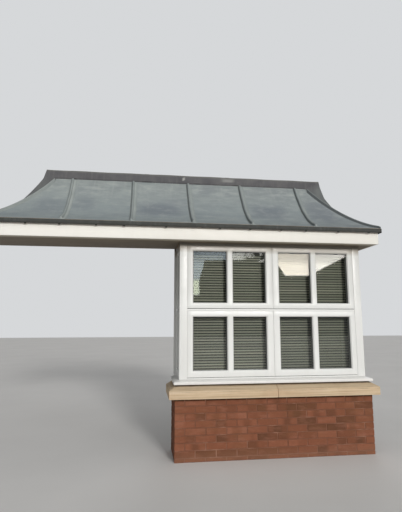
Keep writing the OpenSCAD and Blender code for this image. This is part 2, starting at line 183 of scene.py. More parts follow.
def add_bar(ms, a, b, r, mat=0, tf=None, seg=3, **values):
    """A box with rounded edges along its longest side and softened ends."""
    size = [b[i] - a[i] for i in range(3)]
    ax = max(range(3), key=lambda i: size[i])
    p, q = [i for i in range(3) if i != ax]
    r = min(r, size[p] * 0.45, size[q] * 0.45)

    def ring(inset, along):
        out = []
        rr = r
        for (cp, cq, start) in ((b[p] - rr, b[q] - rr, 0), (a[p] + rr, b[q] - rr, 90),
                                (a[p] + rr, a[q] + rr, 180), (b[p] - rr, a[q] + rr, 270)):
            for k in range(seg + 1):
                t = math.radians(start + 90.0 * k / seg)
                pt = [0.0, 0.0, 0.0]
                pt[p] = cp + (rr - inset) * math.cos(t)
                pt[q] = cq + (rr - inset) * math.sin(t)
                pt[ax] = along
                out.append(tuple(pt))
        return out

    e = r * 0.5
    rings = [ring(e, a[ax]), ring(0, a[ax] + e), ring(0, b[ax] - e), ring(e, b[ax])]
    n = len(rings[0])
    v, f = [], []
    for rg in rings:
        v += rg
    for k in range(len(rings) - 1):
        for i in range(n):
            j = (i + 1) % n
            f.append([k * n + i, k * n + j, (k + 1) * n + j, (k + 1) * n + i])
    f.append(list(range(n))[::-1])
    f.append([3 * n + i for i in range(n)])
    if tf:
        v = [tf(x) for x in v]
    return ms.add(v, f, mat, **values)


def add_grid(ms, top, bottom, mat=0, **values):
    """A closed sheet from two grids (rows x cols) of points."""
    R, C = len(top), len(top[0])
    v = [p for row in top for p in row] + [p for row in bottom for p in row]
    n = R * C
    f = []
    for i in range(R - 1):
        for j in range(C - 1):
            a = i * C + j
            f.append([a, a + 1, a + C + 1, a + C])
            f.append([n + a, n + a + C, n + a + C + 1, n + a + 1])
    edge = [(0, j) for j in range(C)] + [(i, C - 1) for i in range(1, R)]
    edge += [(R - 1, j) for j in range(C - 2, -1, -1)] + [(i, 0) for i in range(R - 2, 0, -1)]
    ids = [i * C + j for i, j in edge]
    for k in range(len(ids)):
        a, b = ids[k], ids[(k + 1) % len(ids)]
        f.append([a, n + a, n + b, b])
    vals = {}
    for k, val in values.items():
        if hasattr(val, "__len__"):
            flat = [x for row in val for x in row]
            vals[k] = flat + flat
        else:
            vals[k] = val
    return ms.add(v, f, mat, **vals)


def add_sweep(ms, rings, mat=0, caps=True, closed=True, **values):
    """Rings of equal length joined along their order; each ring is a closed outline."""
    n = len(rings[0])
    v = [p for r in rings for p in r]
    f = []
    for k in range(len(rings) - 1):
        for i in range(n):
            j = (i + 1) % n
            f.append([k * n + i, k * n + j, (k + 1) * n + j, (k + 1) * n + i])
    if caps:
        f.append(list(range(n))[::-1])
        f.append([(len(rings) - 1) * n + i for i in range(n)])
    return ms.add(v, f, mat, **values)


def soften(node, name, mats, width, segments=2, angle=25, smooth=40):
    """A copy of a CAD node with its sharp edges rounded; it stands for the node."""
    me = NODE[node].data.copy()
    me.name = name
    me.materials.clear()
    for mt in mats:
        me.materials.append(mt)
    bm = bmesh.new()
    bm.from_mesh(me)
    bmesh.ops.remove_doubles(bm, verts=bm.verts, dist=2e-5)
    bmesh.ops.dissolve_limit(bm, angle_limit=math.radians(0.4), verts=bm.verts, edges=bm.edges)
    bmesh.ops.recalc_face_normals(bm, faces=bm.faces)
    edges = [e for e in bm.edges if len(e.link_faces) == 2 and e.calc_face_angle(0) > math.radians(angle)]
    if width > 0:
        bmesh.ops.bevel(bm, geom=edges, offset=width / 1000.0, offset_type="OFFSET", segments=segments,
                        profile=0.5, affect="EDGES", clamp_overlap=True)
    for f in bm.faces:
        f.material_index = 0
    bm.to_mesh(me)
    bm.free()
    for at in [a for a in me.attributes if a.domain == "CORNER" and a.name not in ("position",) and not a.is_required]:
        if at.name.startswith("UV") or at.name == "custom_normal":
            me.attributes.remove(at)
    shade(me, smooth)
    ob = bpy.data.objects.new(name, me)
    bpy.context.scene.collection.objects.link(ob)
    return seat(ob, node)


# ---------------------------------------------------------------- materials
def ramp(nt, stops, fac, mode="LINEAR"):
    r = nt.nodes.new("ShaderNodeValToRGB")
    r.color_ramp.interpolation = mode
    el = r.color_ramp.elements
    while len(el) > 1:
        el.remove(el[-1])
    el[0].position, el[0].color = stops[0][0], (*stops[0][1], 1) if len(stops[0][1]) == 3 else stops[0][1]
    for pos, col in stops[1:]:
        e = el.new(pos)
        e.color = (*col, 1) if len(col) == 3 else col
    nt.links.new(fac, r.inputs[0])
    return r.outputs[0]


def grey(v):
    return (v, v, v)


class Mat:
    """Small helper round one Principled material in object coordinates."""

    def __init__(self, name, rough=0.6, spec=0.5, metallic=0.0, coat=0.0):
        self.m = bpy.data.materials.new(name)
        self.m.use_nodes = True
        self.nt = self.m.node_tree
        self.bsdf = self.nt.nodes["Principled BSDF"]
        self.bsdf.inputs["Roughness"].default_value = rough
        self.bsdf.inputs["Specular IOR Level"].default_value = spec
        self.bsdf.inputs["Metallic"].default_value = metallic
        self.bsdf.inputs["Coat Weight"].default_value = coat
        self.co = self.nt.nodes.new("ShaderNodeTexCoord").outputs["Object"]

    def node(self, kind):
        return self.nt.nodes.new(kind)

    def link(self, a, b):
        self.nt.links.new(a, b)

    def scaled(self, sx, sy, sz, off=(0, 0, 0)):
        mp = self.node("ShaderNodeMapping")
        mp.inputs["Scale"].default_value = (sx, sy, sz)
        mp.inputs["Location"].default_value = off
        self.link(self.co, mp.inputs["Vector"])
        return mp.outputs[0]

    def noise(self, scale, detail=4, rough=0.55, vec=None, distort=0.0):
        n = self.node("ShaderNodeTexNoise")
        n.inputs["Scale"].default_value = scale
        n.inputs["Detail"].default_value = detail
        n.inputs["Roughness"].default_value = rough
        n.inputs["Distortion"].default_value = distort
        self.link(vec if vec is not None else self.co, n.inputs["Vector"])
        return n.outputs[0]

    def voronoi(self, scale, vec=None, feature="F1"):
        n = self.node("ShaderNodeTexVoronoi")
        n.feature = feature
        n.inputs["Scale"].default_value = scale
        self.link(vec if vec is not None else self.co, n.inputs["Vector"])
        return n.outputs[0]

    def attr(self, name):
        n = self.node("ShaderNodeAttribute")
        n.attribute_name = name
        return n.outputs["Fac"]

    def axis(self, i):
        n = self.node("ShaderNodeSeparateXYZ")
        self.link(self.co, n.inputs[0])
        return n.outputs[i]

    def map(self, val, a, b, c, d):
        n = self.node("ShaderNodeMapRange")
        for i, x in zip((1, 2, 3, 4), (a, b, c, d)):
            n.inputs[i].default_value = x
        self.link(val, n.inputs[0])
        return n.outputs[0]

    def math(self, op, a, b=None):
        n = self.node("ShaderNodeMath")
        n.operation = op
        for i, x in enumerate((a, b)):
            if x is None:
                continue
            if isinstance(x, (int, float)):
                n.inputs[i].default_value = x
            else:
                self.link(x, n.inputs[i])
        return n.outputs[0]

    def mix(self, fac, a, b, blend="MIX"):
        n = self.node("ShaderNodeMix")
        n.data_type = "RGBA"
        n.blend_type = blend
        for sock, x in ((n.inputs[0], fac), (n.inputs[6], a), (n.inputs[7], b)):
            if isinstance(x, tuple):
                sock.default_value = (*x, 1) if len(x) == 3 else x
            elif isinstance(x, (int, float)):
                sock.default_value = x
            else:
                self.link(x, sock)
        return n.outputs[2]

    def color(self, c):
        self.link(c, self.bsdf.inputs["Base Color"])

    def rough(self, r):
        self.link(r, self.bsdf.inputs["Roughness"])

    def bump(self, height, strength=0.3, dist=0.001, chain=None):
        n = self.node("ShaderNodeBump")
        n.inputs["Strength"].default_value = strength
        n.inputs["Distance"].default_value = dist
        self.link(height, n.inputs["Height"])
        if chain is not None:
            self.link(chain, n.inputs["Normal"])
        self.link(n.outputs[0], self.bsdf.inputs["Normal"])
        return n.outputs[0]


def lin(r, g, b):
    """sRGB 0-255 to linear."""
    out = []
    for c in (r, g, b):
        c = c / 255.0
        out.append(c / 12.92 if c <= 0.04045 else ((c + 0.055) / 1.055) ** 2.4)
    return tuple(out)


# brick: sand-faced red-brown, a tone for each brick, pale dusty splash zone by the ground
def mat_brick():
    m = Mat("brick_face", rough=0.92, spec=0.2)
    tone = m.attr("tone")
    base = ramp(m.nt, [(0.0, (0.088, 0.036, 0.018)), (0.22, (0.127, 0.047, 0.024)), (0.5, (0.200, 0.069, 0.036)),
                       (0.8, (0.242, 0.088, 0.048)), (1.0, (0.292, 0.120, 0.073))], tone)
    cloud = m.noise(14, 5, 0.6)
    base = m.mix(m.map(cloud, 0.35, 0.75, 0.0, 0.50), base, m.mix(0.5, base, (0.090, 0.040, 0.027)))
    bloom = m.noise(1, 4, 0.6, m.scaled(6, 6, 17))
    base = m.mix(m.map(bloom, 0.50, 0.70, 0.0, 0.40), base, (0.325, 0.148, 0.100))
    tea = m.noise(1, 4, 0.55, m.scaled(3.2, 3.2, 7))
    base = m.mix(m.map(tea, 0.46, 0.64, 0.0, 0.36), base, (0.155, 0.070, 0.030))
    speck = m.noise(420, 3, 0.7)
    base = m.mix(m.map(speck, 0.30, 0.72, 0.0, 0.50), base, m.mix(0.6, base, (0.36, 0.155, 0.088)))
    drag = m.noise(1, 4, 0.6, m.scaled(26, 26, 190))
    base = m.mix(m.map(drag, 0.52, 0.75, 0.0, 0.40), base, m.mix(0.6, base, (0.075, 0.036, 0.026)))
    z = m.axis(2)
    edge = m.math("ADD", z, m.map(m.noise(9, 4), 0.0, 1.0, -0.035, 0.035))
    splash = m.map(edge, 0.02, 0.12, 0.45, 0.0)
    base = m.mix(splash, base, (0.225, 0.112, 0.070))
    # painted shade under the stone sill: the top courses darken towards the sill, with a dark line just under it
    sill_shade = m.map(m.math("ADD", z, m.map(m.noise(12, 4), 0.0, 1.0, -0.012, 0.012)), 0.600, 0.640, 0.0, 0.45)
    base = m.mix(sill_shade, base, m.mix(0.6, base, (0.045, 0.022, 0.014)))
    sill_shadow_line = m.map(m.math("ADD", z, m.map(m.noise(5, 3), 0.2, 0.8, -0.003, 0.003)), 0.612, 0.627, 0.0, 0.85)
    base = m.mix(sill_shadow_line, base, (0.040, 0.017, 0.008))
    m.color(base)
    h = m.math("ADD", m.math("MULTIPLY", m.noise(260, 5, 0.7), 0.7), m.math("MULTIPLY", drag, 0.5))
    m.bump(h, 0.75, 0.0022)
    return m.m


def mat_mortar():
    m = Mat("mortar", rough=0.95, spec=0.15)
    base = ramp(m.nt, [(0.30, (0.150, 0.060, 0.034)), (0.52, (0.190, 0.080, 0.047)), (0.68, (0.315, 0.165, 0.112))], m.noise(5, 5, 0.65))
    grain = m.noise(700, 2, 0.6)
    base = m.mix(m.map(grain, 0.4, 0.75, 0.0, 0.4), base, (0.29, 0.165, 0.115))
    splash = m.map(m.axis(2), 0.02, 0.12, 0.5, 0.0)
    base = m.mix(splash, base, (0.30, 0.17, 0.115))
    m.color(base)
    m.bump(m.noise(500, 4, 0.7), 0.6, 0.0015)
    return m.m


def mat_block():
    m = Mat("block_face", rough=0.95, spec=0.2)
    base = ramp(m.nt, [(0.2, (0.21, 0.21, 0.20)), (0.8, (0.33, 0.325, 0.31))],
                m.math("ADD", m.math("MULTIPLY", m.noise(9, 4), 0.5), m.math("MULTIPLY", m.attr("tone"), 0.5)))
    holes = m.voronoi(240)
    base = m.mix(m.map(holes, 0.10, 0.32, 0.75, 0.0), base, (0.10, 0.10, 0.095))
    m.color(base)
    m.bump(m.math("ADD", m.map(holes, 0.0, 0.4, 0.0, 1.0), m.noise(300, 3)), 0.8, 0.0025)
    return m.m


def mat_concrete():
    m = Mat("concrete", rough=0.85, spec=0.3)
    base = ramp(m.nt, [(0.25, (0.24, 0.235, 0.22)), (0.75, (0.36, 0.35, 0.33))], m.noise(5, 6, 0.62))
    base = m.mix(m.map(m.noise(140, 3, 0.6), 0.5, 0.75, 0.0, 0.4), base, (0.19, 0.185, 0.175))
    m.color(base)
    m.bump(m.noise(90, 6, 0.65), 0.35, 0.0015)
    return m.m


def mat_stone():
    """Buff cast stone: level bedding streaks, a greyer weathered slope and a grey line at the arris."""
    m = Mat("sill_stone", rough=0.85, spec=0.2)
    base = ramp(m.nt, [(0.2, (0.500, 0.365, 0.228)), (0.5, (0.600, 0.455, 0.298)), (0.8, (0.665, 0.520, 0.352))],
                m.noise(3.2, 5, 0.6))
    bed = m.noise(1, 5, 0.62, m.scaled(2.2, 2.2, 150, (3, 0, 0)))
    base = m.mix(m.map(bed, 0.50, 0.66, 0.0, 0.60), base, (0.72, 0.60, 0.455))
    base = m.mix(m.map(bed, 0.34, 0.47, 0.60, 0.0), base, (0.38, 0.275, 0.180))
    pink = m.noise(2.1, 3, 0.5, m.scaled(1, 1, 3, (3, 0, 0)))
    base = m.mix(m.map(pink, 0.5, 0.7, 0.0, 0.35), base, (0.56, 0.385, 0.255))
    grit = m.noise(620, 3, 0.65)
    base = m.mix(m.map(grit, 0.5, 0.78, 0.0, 0.3), base, (0.36, 0.265, 0.175))
    base = m.mix(m.map(m.voronoi(330), 0.0, 0.16, 0.3, 0.0), base, (0.74, 0.62, 0.47))
    up = m.node("ShaderNodeSeparateXYZ")
    geo = m.node("ShaderNodeNewGeometry")
    m.link(geo.outputs["True Normal"], up.inputs[0])
    slope = m.map(up.outputs[2], 0.15, 0.75, 0.0, 1.0)
    ragged = m.map(m.noise(16, 4, 0.6), 0.3, 0.7, 0.55, 1.0)
    base = m.mix(m.math("MULTIPLY", m.math("MULTIPLY", slope, ragged), 0.50), base, m.mix(0.65, base, (0.315, 0.275, 0.195)))
    arris = m.math("ADD", m.axis(2), m.map(m.noise(22, 4), 0.0, 1.0, -0.004, 0.004))
    line = m.math("MULTIPLY", m.map(arris, 0.7150, 0.7175, 0.0, 1.0), m.map(arris, 0.7195, 0.7230, 1.0, 0.0))
    broken = m.map(m.noise(1, 4, 0.6, m.scaled(7, 7, 1, (1, 4, 0))), 0.40, 0.60, 0.0, 0.6)
    base = m.mix(m.math("MULTIPLY", line, broken), base, (0.235, 0.195, 0.150))
    # painted shade: a dark line in the angle under the cill's nose
    nose_shade = m.math("ADD", m.axis(2), m.map(m.noise(13, 4, 0.6), 0.2, 0.8, -0.003, 0.003))
    base = m.mix(m.map(nose_shade, 0.7660, 0.7740, 0.0, 0.94), base, (0.095, 0.064, 0.040))
    m.color(base)
    m.bump(m.noise(420, 5, 0.7), 0.45, 0.0012)
    return m.m


def mat_pvc(name="white_pvc", col=(0.785, 0.79, 0.77), dirt=0.10):
    m = Mat(name, rough=0.32, spec=0.45)
    film = m.noise(4.5, 5, 0.6)
    run = m.noise(1, 4, 0.6, m.scaled(34, 34, 1.6))
    d = m.math("MULTIPLY", m.map(film, 0.4, 0.8, 0.0, 1.0), m.map(run, 0.35, 0.8, 0.0, 1.0))
    c = m.mix(m.math("MULTIPLY", d, dirt * 2.2), col, (0.50, 0.49, 0.44))
    # painted shade under the canopy: the frames turn greyer above the middle rails, darker on the head rails and
    # darkest right under the soffit
    z = m.math("ADD", m.axis(2), m.map(m.noise(24, 4, 0.6), 0.2, 0.8, -0.002, 0.002))
    c = m.mix(m.map(z, 1.67, 1.79, 0.0, 0.20), c, (0.430, 0.435, 0.410))
    c = m.mix(m.map(z, 2.226, 2.284, 0.0, 0.78), c, (0.372, 0.330, 0.268))
    c = m.mix(m.map(z, 2.304, 2.328, 0.0, 0.80), c, (0.150, 0.132, 0.106))
    m.color(c)
    m.rough(m.map(m.noise(30, 4), 0.3, 0.7, 0.28, 0.44))
    m.bump(m.noise(60, 2), 0.04, 0.0006)
    return m.m


def mat_fascia():
    m = Mat("fascia_white", rough=0.45, spec=0.45)
    run = m.noise(1, 5, 0.62, m.scaled(16, 16, 1.2))
    z = m.axis(2)
    top = m.map(z, 2.44, 2.50, 0.0, 1.0)
    d = m.math("MULTIPLY", m.map(run, 0.45, 0.8, 0.0, 1.0), m.map(top, 0.0, 1.0, 0.15, 0.9))
    # painted light: the board is lightest at its left end and darkens towards the right
    painted_light_ramp = ramp(m.nt, [(0.0, (0.940, 0.922, 0.868)), (0.34, (0.915, 0.895, 0.835)), (0.46, (0.840, 0.816, 0.752)), (1.0, (0.832, 0.812, 0.752))],
                 m.map(m.math("ADD", m.axis(0), m.map(m.noise(3, 3), 0.0, 1.0, -0.15, 0.15)), -2.235, 2.235, 0.0, 1.0))
    c = m.mix(m.math("MULTIPLY", d, 0.26), painted_light_ramp, (0.48, 0.455, 0.395))
    m.color(c)
    m.rough(m.map(m.noise(25, 4), 0.3, 0.7, 0.38, 0.55))
    m.bump(m.noise(1, 3, 0.5, m.scaled(3, 3, 60)), 0.05, 0.001)
    return m.m


def mat_soffit():
    """The boards under the canopy: dull and stained, with painted shade: a dark base colour, lighter towards the left
    end and the front edge, darker towards the wall.
    """
    m = Mat("soffit_board", rough=0.7, spec=0.25)
    base = ramp(m.nt, [(0.3, (0.178, 0.150, 0.110)), (0.7, (0.232, 0.196, 0.146))], m.noise(2.2, 5, 0.6))
    grain = m.noise(1, 4, 0.6, m.scaled(2, 30, 30))
    base = m.mix(m.map(grain, 0.45, 0.75, 0.0, 0.4), base, (0.085, 0.072, 0.058))
    # painted light and shade: lighter towards the left end, darker towards the wall, lighter along the front edge by
    # the fascia
    base = m.mix(m.map(m.axis(0), -1.9, 0.0, 0.30, 0.0), base, (0.290, 0.240, 0.178))
    base = m.mix(m.map(m.axis(1), -0.20, 0.30, 0.0, 0.55), base, (0.130, 0.098, 0.070))
    base = m.mix(m.map(m.axis(1), -0.250, -0.190, 0.85, 0.0), base, (0.540, 0.490, 0.395))
    m.color(base)
    m.bump(grain, 0.15, 0.0008)
    return m.m


def mat_board():
    m = Mat("board_white", rough=0.4, spec=0.45)
    m.color(ramp(m.nt, [(0.3, (0.80, 0.79, 0.76)), (0.7, (0.86, 0.855, 0.83))], m.noise(3, 5)))
    m.rough(m.map(m.noise(40, 4), 0.3, 0.7, 0.32, 0.5))
    m.bump(m.noise(120, 3), 0.06, 0.0006)
    return m.m


def mat_plaster():
    m = Mat("plaster", rough=0.9, spec=0.25)
    m.color(ramp(m.nt, [(0.3, (0.72, 0.69, 0.62)), (0.7, (0.80, 0.77, 0.70))], m.noise(2.4, 6, 0.6)))
    m.bump(m.math("ADD", m.noise(7, 5, 0.6), m.math("MULTIPLY", m.noise(150, 3), 0.2)), 0.35, 0.0015)
    return m.m


def mat_timber(name, sx, sy, sz, a=(0.36, 0.225, 0.115), b=(0.56, 0.385, 0.215)):
    """Sawn softwood with the grain along the axis that has the small scale."""
    m = Mat(name, rough=0.78, spec=0.3)
    v = m.scaled(sx, sy, sz)
    rings = m.noise(1.0, 3, 0.5, v, 0.6)
    wave = m.math("SINE", m.math("MULTIPLY", rings, 46.0))
    base = ramp(m.nt, [(0.0, a), (0.55, b), (1.0, (0.62, 0.45, 0.27))], m.map(wave, -1, 1, 0, 1))
    fine = m.noise(6.0, 3, 0.7, v)
    base = m.mix(m.map(fine, 0.4, 0.8, 0.0, 0.5), base, m.mix(0.6, base, (0.22, 0.13, 0.06)))
    knot = m.voronoi(3.1)
    base = m.mix(m.map(knot, 0.02, 0.07, 0.8, 0.0), base, (0.17, 0.085, 0.04))
    m.color(base)
    m.bump(m.math("ADD", m.math("MULTIPLY", wave, 0.2), fine), 0.3, 0.0012)
    return m.m


def mat_lead():
    """Weathered sheet: grey-green patina, darker blue-grey areas, level bands and runs."""
    m = Mat("lead_sheet", rough=0.6, spec=0.25)
    z = m.axis(2)
    bay = m.attr("bay")
    cloud = m.noise(1.9, 6, 0.58, m.scaled(1.0, 1.0, 1.3))
    base = ramp(m.nt, [(0.25, (0.222, 0.258, 0.268)), (0.5, (0.245, 0.282, 0.290)), (0.75, (0.272, 0.308, 0.310))], cloud)
    # painted light: the sheets grow lighter towards the top
    painted_top_light = m.map(z, 2.72, 3.16, 0.0, 1.0)
    base = m.mix(m.math("MULTIPLY", painted_top_light, 0.5), base, (0.315, 0.345, 0.322))
    blot = m.noise(3.4, 4, 0.5, m.scaled(1.0, 1.4, 1.8, (5, 2, 0)))
    base = m.mix(m.map(blot, 0.55, 0.72, 0.0, 0.30), base, (0.200, 0.228, 0.240))
    ragged = m.math("ADD", m.attr("stain"), m.map(m.noise(7.0, 5, 0.6, m.scaled(1, 1.5, 2.4)), 0.25, 0.75, -0.22, 0.16))
    base = m.mix(m.map(ragged, 0.10, 0.85, 0.0, 0.85), base, (0.166, 0.192, 0.216))
    level = m.noise(1.0, 5, 0.62, m.scaled(1.2, 6, 34))
    base = m.mix(m.map(level, 0.52, 0.78, 0.0, 0.34), base, (0.345, 0.372, 0.362))
    base = m.mix(m.map(level, 0.24, 0.42, 0.28, 0.0), base, (0.165, 0.186, 0.196))
    run = m.noise(1.0, 5, 0.65, m.scaled(26, 2.0, 1.4))
    base = m.mix(m.map(run, 0.55, 0.82, 0.0, 0.22), base, (0.36, 0.385, 0.375))
    base = m.mix(m.map(bay, 0.0, 1.4, 0.0, 0.63), base, m.mix(0.5, base, (0.176, 0.188, 0.206)))
    # painted shade (foot): darker in the creases beside the rolls and hips and on the rounded eave
    base = m.mix(m.math("MULTIPLY", m.attr("foot"), 0.5), base, (0.130, 0.144, 0.150))
    patch = m.noise(5.2, 6, 0.68, m.scaled(1.0, 1.0, 2.6, (9, 4, 0)))
    base = m.mix(m.map(patch, 0.50, 0.64, 0.0, 0.30), base, (0.370, 0.398, 0.385))
    base = m.mix(m.map(patch, 0.34, 0.44, 0.30, 0.0), base, (0.178, 0.204, 0.216))
    head = m.math("MULTIPLY", m.map(z, 3.03, 3.19, 0.0, 1.0), m.map(m.noise(1.0, 4, 0.6, m.scaled(9, 3, 5)), 0.3, 0.7, 0.1, 0.6))
    base = m.mix(head, base, (0.215, 0.236, 0.240))
    upper = m.map(z, 2.88, 3.05, 0.0, 1.0)
    lick = m.noise(1.0, 5, 0.62, m.scaled(5.0, 3.0, 17, (2, 7, 0)))
    base = m.mix(m.math("MULTIPLY", upper, m.map(lick, 0.50, 0.66, 0.0, 0.55)), base, (0.375, 0.402, 0.392))
    base = m.mix(m.math("MULTIPLY", upper, m.map(lick, 0.34, 0.47, 0.45, 0.0)), base, (0.200, 0.224, 0.234))
    drop = m.noise(1.0, 4, 0.6, m.scaled(17, 2.0, 1.1, (0, 3, 0)))
    base = m.mix(m.math("MULTIPLY", upper, m.map(drop, 0.52, 0.70, 0.0, 0.35)), base, (0.360, 0.385, 0.370))
    fine = m.noise(160, 4, 0.7)
    base = m.mix(m.map(fine, 0.45, 0.75, 0.0, 0.16), base, (0.37, 0.40, 0.39))
    m.color(base)
    m.rough(m.map(m.noise(9, 5), 0.3, 0.7, 0.52, 0.68))
    m.bump(m.math("ADD", m.noise(11, 4, 0.5), m.math("MULTIPLY", m.noise(90, 3), 0.12)), 0.22, 0.004)
    return m.m


def mat_lead_roll():
    m = Mat("lead_rolls", rough=0.6, spec=0.25)
    base = ramp(m.nt, [(0.3, (0.225, 0.255, 0.256)), (0.7, (0.285, 0.315, 0.306))], m.noise(7, 5, 0.6))
    patch = m.map(m.noise(5, 4, 0.6), 0.35, 0.65, 0.5, 1.0)
    # pale is painted light on the rolls' right flanks, laps and the left hip; dark is painted shade on their left
    # flanks, crests and on the right hip
    base = m.mix(m.math("MULTIPLY", m.attr("pale"), patch), base, (0.385, 0.415, 0.400))
    base = m.mix(m.attr("dark"), base, (0.055, 0.062, 0.068))
    base = m.mix(m.map(m.noise(150, 4, 0.7), 0.5, 0.75, 0.0, 0.25), base, m.mix(0.5, base, (0.36, 0.39, 0.39)))
    m.color(base)
    m.rough(m.map(m.noise(20, 5), 0.3, 0.7, 0.52, 0.68))
    m.bump(m.noise(30, 4, 0.55), 0.35, 0.003)
    return m.m


def mat_lead_edge():
    m = Mat("lead_edge", rough=0.65, spec=0.2)
    z = m.axis(2)
    base = ramp(m.nt, [(0.3, (0.045, 0.047, 0.044)), (0.7, (0.064, 0.066, 0.061))], m.noise(12, 5, 0.62))
    run = m.noise(1.0, 4, 0.6, m.scaled(40, 40, 3))
    base = m.mix(m.map(run, 0.55, 0.80, 0.0, 0.50), base, (0.150, 0.156, 0.146))
    # painted shade: darker along the bottom of the turned-down edge
    base = m.mix(m.map(z, 2.484, 2.500, 0.80, 0.0), base, (0.028, 0.028, 0.025))
    m.color(base)
    m.bump(m.noise(26, 4, 0.6), 0.4, 0.003)
    return m.m


def mat_lead_flash():
    m = Mat("lead_flashing", rough=0.65, spec=0.2)
    base = ramp(m.nt, [(0.28, (0.086, 0.084, 0.091)), (0.5, (0.104, 0.102, 0.108)), (0.75, (0.136, 0.134, 0.136))],
                m.noise(4.2, 5, 0.62))
    run = m.noise(1.0, 4, 0.6, m.scaled(26, 26, 4))
    base = m.mix(m.map(run, 0.5, 0.75, 0.0, 0.40), base, (0.180, 0.178, 0.172))
    top = m.map(m.axis(2), 3.275, 3.298, 0.0, 0.45)
    base = m.mix(top, base, (0.215, 0.217, 0.190))
    base = m.mix(m.attr("rake"), base, m.mix(m.map(m.noise(11, 4), 0.3, 0.7, 0.0, 1.0), (0.128, 0.142, 0.142), (0.172, 0.184, 0.180)))
    base = m.mix(m.attr("pale"), base, (0.50, 0.50, 0.47))
    # painted shadow along the flashing's lower edge, darkest in a few short stretches
    base = m.mix(m.attr("soot"), base, (0.018, 0.018, 0.020))
    m.color(base)
    m.rough(m.map(m.noise(16, 5), 0.3, 0.7, 0.55, 0.75))
    m.bump(m.noise(16, 5, 0.6), 0.4, 0.004)
    return m.m


def mat_slat():
    m = Mat("blind_slat", rough=0.42, spec=0.3)
    hid = m.attr("hid")
    tone = m.attr("tone")
    base = ramp(m.nt, [(0.0, (0.155, 0.156, 0.112)), (0.5, (0.222, 0.218, 0.160)), (1.0, (0.300, 0.290, 0.218))], tone)
    base = m.mix(m.map(m.noise(3, 3), 0.3, 0.7, 0.0, 0.25), base, (0.190, 0.204, 0.146))
    # painted shade: lower slats a little darker, and the band of each slat hidden under the one above dark
    base = m.mix(m.map(m.axis(2), 1.52, 1.58, 0.10, 0.0), base, (0.085, 0.088, 0.060))
    base = m.mix(hid, base, (0.020, 0.022, 0.015))
    m.color(base)
    m.bump(m.noise(200, 3), 0.05, 0.0004)
    return m.m


def mat_plain(name, col, rough, spec=0.4, var=0.15, scale=60, metallic=0.0, bump=0.1):
    m = Mat(name, rough=rough, spec=spec, metallic=metallic)
    dark = tuple(c * (1 - var) for c in col)
    m.color(ramp(m.nt, [(0.3, dark), (0.7, col)], m.noise(scale, 4)))
    m.bump(m.noise(scale * 4, 3), bump, 0.0006)
    return m.m


def mat_glass():
    m = bpy.data.materials.new("clear_glass")
    m.use_nodes = True
    nt = m.node_tree
    for n in list(nt.nodes):
        nt.nodes.remove(n)
    out = nt.nodes.new("ShaderNodeOutputMaterial")
    mix = nt.nodes.new("ShaderNodeMixShader")
    tr = nt.nodes.new("ShaderNodeBsdfTransparent")
    tr.inputs[0].default_value = (0.978, 0.984, 0.978, 1)
    gl = nt.nodes.new("ShaderNodeBsdfPrincipled")
    gl.inputs["Base Color"].default_value = (0.9, 0.93, 0.92, 1)
    gl.inputs["Metallic"].default_value = 1.0
    gl.inputs["Roughness"].default_value = 0.02
    fr = nt.nodes.new("ShaderNodeFresnel")
    fr.inputs["IOR"].default_value = 1.5
    geo = nt.nodes.new("ShaderNodeNewGeometry")
    front = nt.nodes.new("ShaderNodeMath")
    front.operation = "SUBTRACT"
    front.inputs[0].default_value = 1.0
    nt.links.new(geo.outputs["Backfacing"], front.inputs[1])
    mul = nt.nodes.new("ShaderNodeMath")
    mul.operation = "MULTIPLY"
    nt.links.new(fr.outputs[0], mul.inputs[0])
    nt.links.new(front.outputs[0], mul.inputs[1])
    two = nt.nodes.new("ShaderNodeMath")
    two.operation = "MULTIPLY"
    two.use_clamp = True
    two.inputs[1].default_value = 1.2
    nt.links.new(mul.outputs[0], two.inputs[0])
    nt.links.new(two.outputs[0], mix.inputs[0])
    nt.links.new(tr.outputs[0], mix.inputs[1])
    nt.links.new(gl.outputs[0], mix.inputs[2])
    nt.links.new(mix.outputs[0], out.inputs[0])
    return m


M_BRICK, M_MORTAR, M_BLOCK = mat_brick(), mat_mortar(), mat_block()
M_CONCRETE, M_STONE, M_PVC = mat_concrete(), mat_stone(), mat_pvc()
M_CILL = mat_pvc("cill_pvc", (0.81, 0.80, 0.775), 0.16)
M_FASCIA, M_BOARD, M_PLASTER, M_SOFFIT = mat_fascia(), mat_board(), mat_plaster(), mat_soffit()
M_WOOD_X = mat_timber("timber_x", 1.2, 22, 22)
M_WOOD_Y = mat_timber("timber_y", 22, 1.2, 22)
M_PLY = mat_timber("plywood", 26, 2.0, 5.0, (0.42, 0.29, 0.16), (0.57, 0.41, 0.24))
M_LEAD, M_ROLL, M_EDGE, M_FLASH = mat_lead(), mat_lead_roll(), mat_lead_edge(), mat_lead_flash()
M_SLAT = mat_slat()
M_RAIL = mat_plain("blind_rail", (0.42, 0.425, 0.35), 0.4)
M_CORD = mat_plain("ladder_cord", (0.30, 0.30, 0.25), 0.9, scale=400)
M_GASKET = mat_plain("gasket", (0.018, 0.018, 0.019), 0.6, 0.3, 0.3, 120)
M_SPACER = mat_plain("spacer_bar", (0.42, 0.43, 0.44), 0.35, 0.5, 0.2, 200, 0.7)
M_GLASS = mat_glass()


